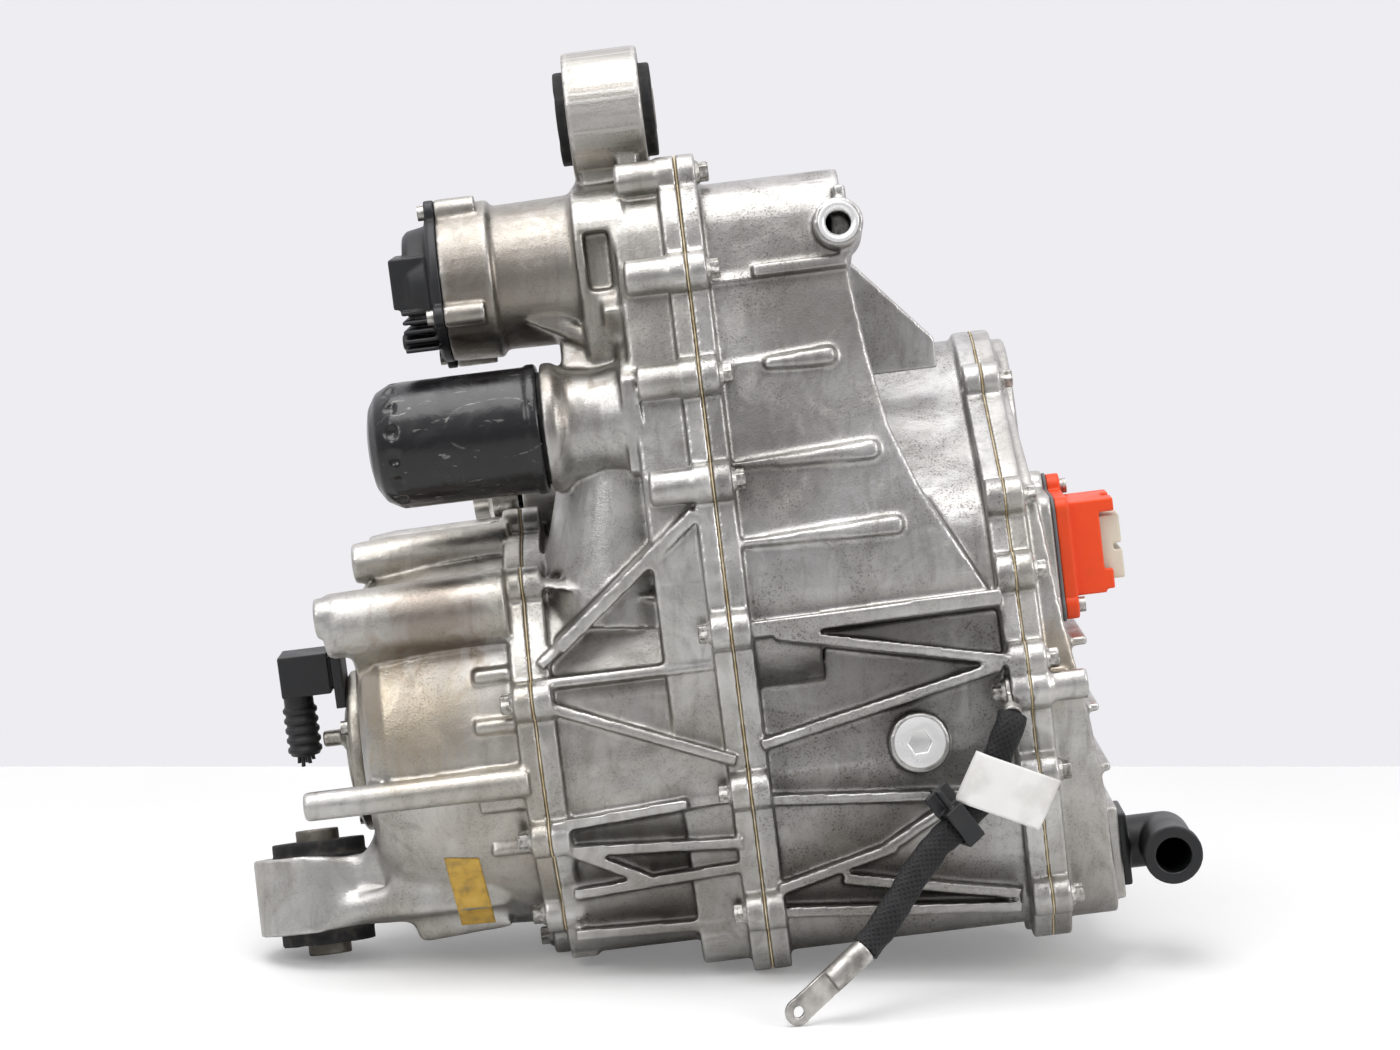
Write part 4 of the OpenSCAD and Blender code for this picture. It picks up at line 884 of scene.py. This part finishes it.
# Fill plug: a turned aluminium plug with a hexagon socket, screwed into the right housing. No paint
# or film holds on it; its near white, less metallic colour is bare aluminium and partly a painted
# highlight. Its turned edges are eased.
def turned(name, piece, ease):
    bm = solid_of(piece)
    bmesh.ops.dissolve_limit(bm, angle_limit=math.radians(1), verts=bm.verts, edges=bm.edges)
    corners = [e for e in bm.edges
               if len(e.link_faces) == 2 and e.calc_face_angle() > math.radians(40)]
    bmesh.ops.bevel(bm, geom=corners, offset=ease, segments=3, profile=0.5, affect="EDGES")
    return meshed(bm, name)


# Near white base with a lowered metal share: bare aluminium, partly a painted highlight.
plug_metal = turned_metal("turned_aluminium", "#f4f4f3", "#dddcda", 0.2, metal=0.7)
plug = place("fill_plug_turned", turned("fill_plug_turned", "fill_plug", 0.0007), plug_metal)
plug.data.set_sharp_from_angle(angle=math.radians(25))
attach(plug, "housing")
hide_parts("fill_plug")


# Thread insert of the front boss: a turned aluminium bush with a coarse thread, pressed into the
# casting. Its flange was faced bright with the boss, and its near white finish is partly a painted
# highlight.
def threaded_bush(name, mouth, way, pitch, depth=0.012, sides=56, steps=72):
    bm = bmesh.new()
    across = way.cross(Vector((0, 0, 1))).normalized()
    upward = across.cross(way)
    outer, flange, bore, tooth = 0.0087, 0.0118, 0.0083, 0.0009
    lip, lead = 0.0004, 0.0006
    rings = []

    def ring(radius_at, deep):
        row = []
        for i in range(sides):
            a = 2 * math.pi * i / sides
            spoke = across * math.cos(a) + upward * math.sin(a)
            row.append(bm.verts.new(mouth - way * deep + radius_at(a) * spoke))
        rings.append(row)

    def thread(deep):
        return lambda a: bore - tooth * abs(2 * ((deep / pitch - a / 2 / math.pi) % 1) - 1) ** 1.3

    for radius, deep in ((outer, depth), (outer, lip), (flange, lip), (0.0119, -0.0002),
                         (0.0116, -lip), (0.009, -lip), (bore, lip)):
        ring(lambda a, r=radius: r, deep)
    for step in range(steps + 1):
        deep = lead + (depth - lead) * step / steps
        ring(thread(deep), deep)
    for low, high in zip(rings, rings[1:] + rings[:1]):
        band(bm, low, high)
    return meshed(bm, name)


hole = next(m for m in frame["record"]["mounts"] if m["name"] == "front_mount_thread")
bush_way = Vector(hole["axis"]).normalized()
mouth_ahead, thread_pitch = 0.0152, 0.002
boss_mouth = Vector(hole["pos_m"]) + bush_way * mouth_ahead
# The bush takes the fill plug's near white finish, partly a painted highlight.
bush = place("front_boss_bush",
             threaded_bush("front_boss_bush", boss_mouth, bush_way, thread_pitch), plug_metal)
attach(bush, "housing")

# Seals: rings of black rubber. The two shaft seals are pressed into the castings round the outputs,
# and the filter's ring lies under its can.
for piece in ("left_output_seal", "right_output_seal", "filter_gasket"):
    coat(piece, rubber)

# High voltage header: an orange polyester housing on a grey silicone seal, with a cream terminal
# block inside, screwed to the end cover. The coolant elbow is moulded in black plastic.
orange_pbt = moulded("polyester_orange", "#ee4a14", "#f78a5c", "#b4451f", 0.34)
cream_pbt = moulded("polyester_cream", "#d9d0bd", "#ece6d8", "#b9ad97", 0.42)
grey_seal = moulded("silicone_grey", "#6f7173", "#8d8f90", "#5a5a58", 0.5)
black_pps = moulded("coolant_plastic_black", "#17181a", "#4a4b4e", "#33322f", 0.3)
for piece, finish, grid in (("hv_connector", orange_pbt, 0.0007),
                            ("hv_terminal_block", cream_pbt, 0.0006),
                            ("hv_gasket", grey_seal, 0.0005), ("coolant_elbow", black_pps, 0.0009)):
    dressed(piece + "_moulding", piece, finish, grid, 2, 90000)


# Drive train and electrics inside the castings: gears and shafts of ground case hardened steel,
# lamination stacks of electrical steel, enamelled copper winding, circuit board and power module.
def plain(name, low, high, size, gloss, metal):
    m, t, surface, at = begin(name, metallic=metal)
    mottle = noise(t, at["Object"], 1 / size, 5)
    tone = ramp(t, mottle, (0.35, low), (0.65, high))
    rough = spread(t, mottle, 0.3, 0.7, gloss, gloss + 0.15)
    feed(t, surface, tone, rough, mottle, 0.0001, 0.3)
    return m


gear_steel = plain("case_hardened_gear_steel", "#77746f", "#9b9893", 0.012, 0.28, 1.0)
inner_finishes = (
    (gear_steel, ("rotor_shaft", "lay_shaft", "lay_gear", "ring_gear", "left_side_gear",
                  "right_side_gear", "spider_gear_upper", "spider_gear_lower", "differential_pin",
                  "pump_shaft", "filter_nipple")),
    (plain("bearing_steel", "#93918d", "#b5b3ae", 0.008, 0.18, 1.0),
     ("rotor_bearing_left", "rotor_bearing_right", "lay_bearing_left", "lay_bearing_right",
      "differential_bearing_left", "differential_bearing_right", "left_output_bearing")),
    (plain("spheroidal_cast_iron", "#4d4b49", "#6d6a66", 0.006, 0.5, 0.8), ("differential_case",)),
    (plain("black_oxide_steel", "#2b2a2a", "#434241", 0.006, 0.4, 0.9), ("ring_gear_bolts",)),
    (plain("electrical_steel_laminations", "#585653", "#74716d", 0.004, 0.45, 0.9),
     ("stator_core", "rotor_core")),
    (plain("enamelled_copper", "#8a4a22", "#b9692f", 0.003, 0.3, 0.6), ("stator_winding",)),
    (plain("sintered_ferrite", "#2c2b2c", "#434244", 0.004, 0.5, 0.2), ("sensor_magnet",)),
    (plain("sintered_steel", "#6b6966", "#8a8783", 0.003, 0.45, 0.9), ("pump_outer_rotor",)),
    (plain("pump_motor_can", "#4d4e51", "#66676a", 0.006, 0.4, 0.8), ("pump_motor",)),
    (plain("solder_mask_green", "#1f4a30", "#2f6342", 0.01, 0.35, 0.0), ("inverter_board",)),
    (plain("potting_epoxy", "#35363a", "#4a4b50", 0.01, 0.45, 0.0), ("power_module",)))
for finish, pieces in inner_finishes:
    for piece in pieces:
        coat(piece, finish)


# Yellow sticker: a blank vinyl label, glued to the front of the motor drum and laid on the
# casting's skin. Its colour is worn and dulled in patches.
def yellow_vinyl():
    m, t, surface, at = begin("yellow_vinyl", roughness=0.4, specular_ior_level=0.4)
    wear = noise(t, at["Object"], 120, 6)
    tone = ramp(t, wear, (0.3, "#9a8148"), (0.5, "#c9a246"), (0.7, "#d3af57"))
    feed(t, surface, tone, bump=wear, depth=0.0002, strength=0.4)
    return m


glue_lift = 0.00035


def sticker_mesh(corners, across, down):
    drum = castings["left_housing"]
    tree = BVHTree.FromPolygons([v.co.copy() for v in drum.data.vertices],
                                [tuple(p.vertices) for p in drum.data.polygons])
    scale = lens.sensor_width / lens.lens / picture_wide
    bm = bmesh.new()
    right, up = Vector((1, 0, 0)), Vector((0, math.sin(dip), math.cos(dip)))
    rows = []
    for i in range(across + 1):
        row = []
        for j in range(down + 1):
            s, h = i / across, j / down
            top = [a + (b - a) * s for a, b in zip(corners[0], corners[1])]
            low = [a + (b - a) * s for a, b in zip(corners[3], corners[2])]
            px = [a + (b - a) * h for a, b in zip(top, low)]
            ray = (view + right * (px[0] - picture_wide / 2) * scale
                   - up * (px[1] - picture_high / 2) * scale)
            hit, normal, _, _ = tree.ray_cast(camera.location, ray.normalized())
            row.append(bm.verts.new(hit + normal * glue_lift))
        rows.append(row)
    for i in range(across):
        for j in range(down):
            bm.faces.new((rows[i][j], rows[i][j + 1], rows[i + 1][j + 1], rows[i + 1][j]))
    return meshed(bm, "yellow_sticker")


sticker_corners = ((444, 858), (479, 858), (496, 922), (462, 925))
sticker = place("yellow_sticker", sticker_mesh(sticker_corners, 14, 24), yellow_vinyl())
film = sticker.modifiers.new("thickness", "SOLIDIFY")
film.thickness, film.offset = label_thick, 0.0
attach(sticker, "housing")
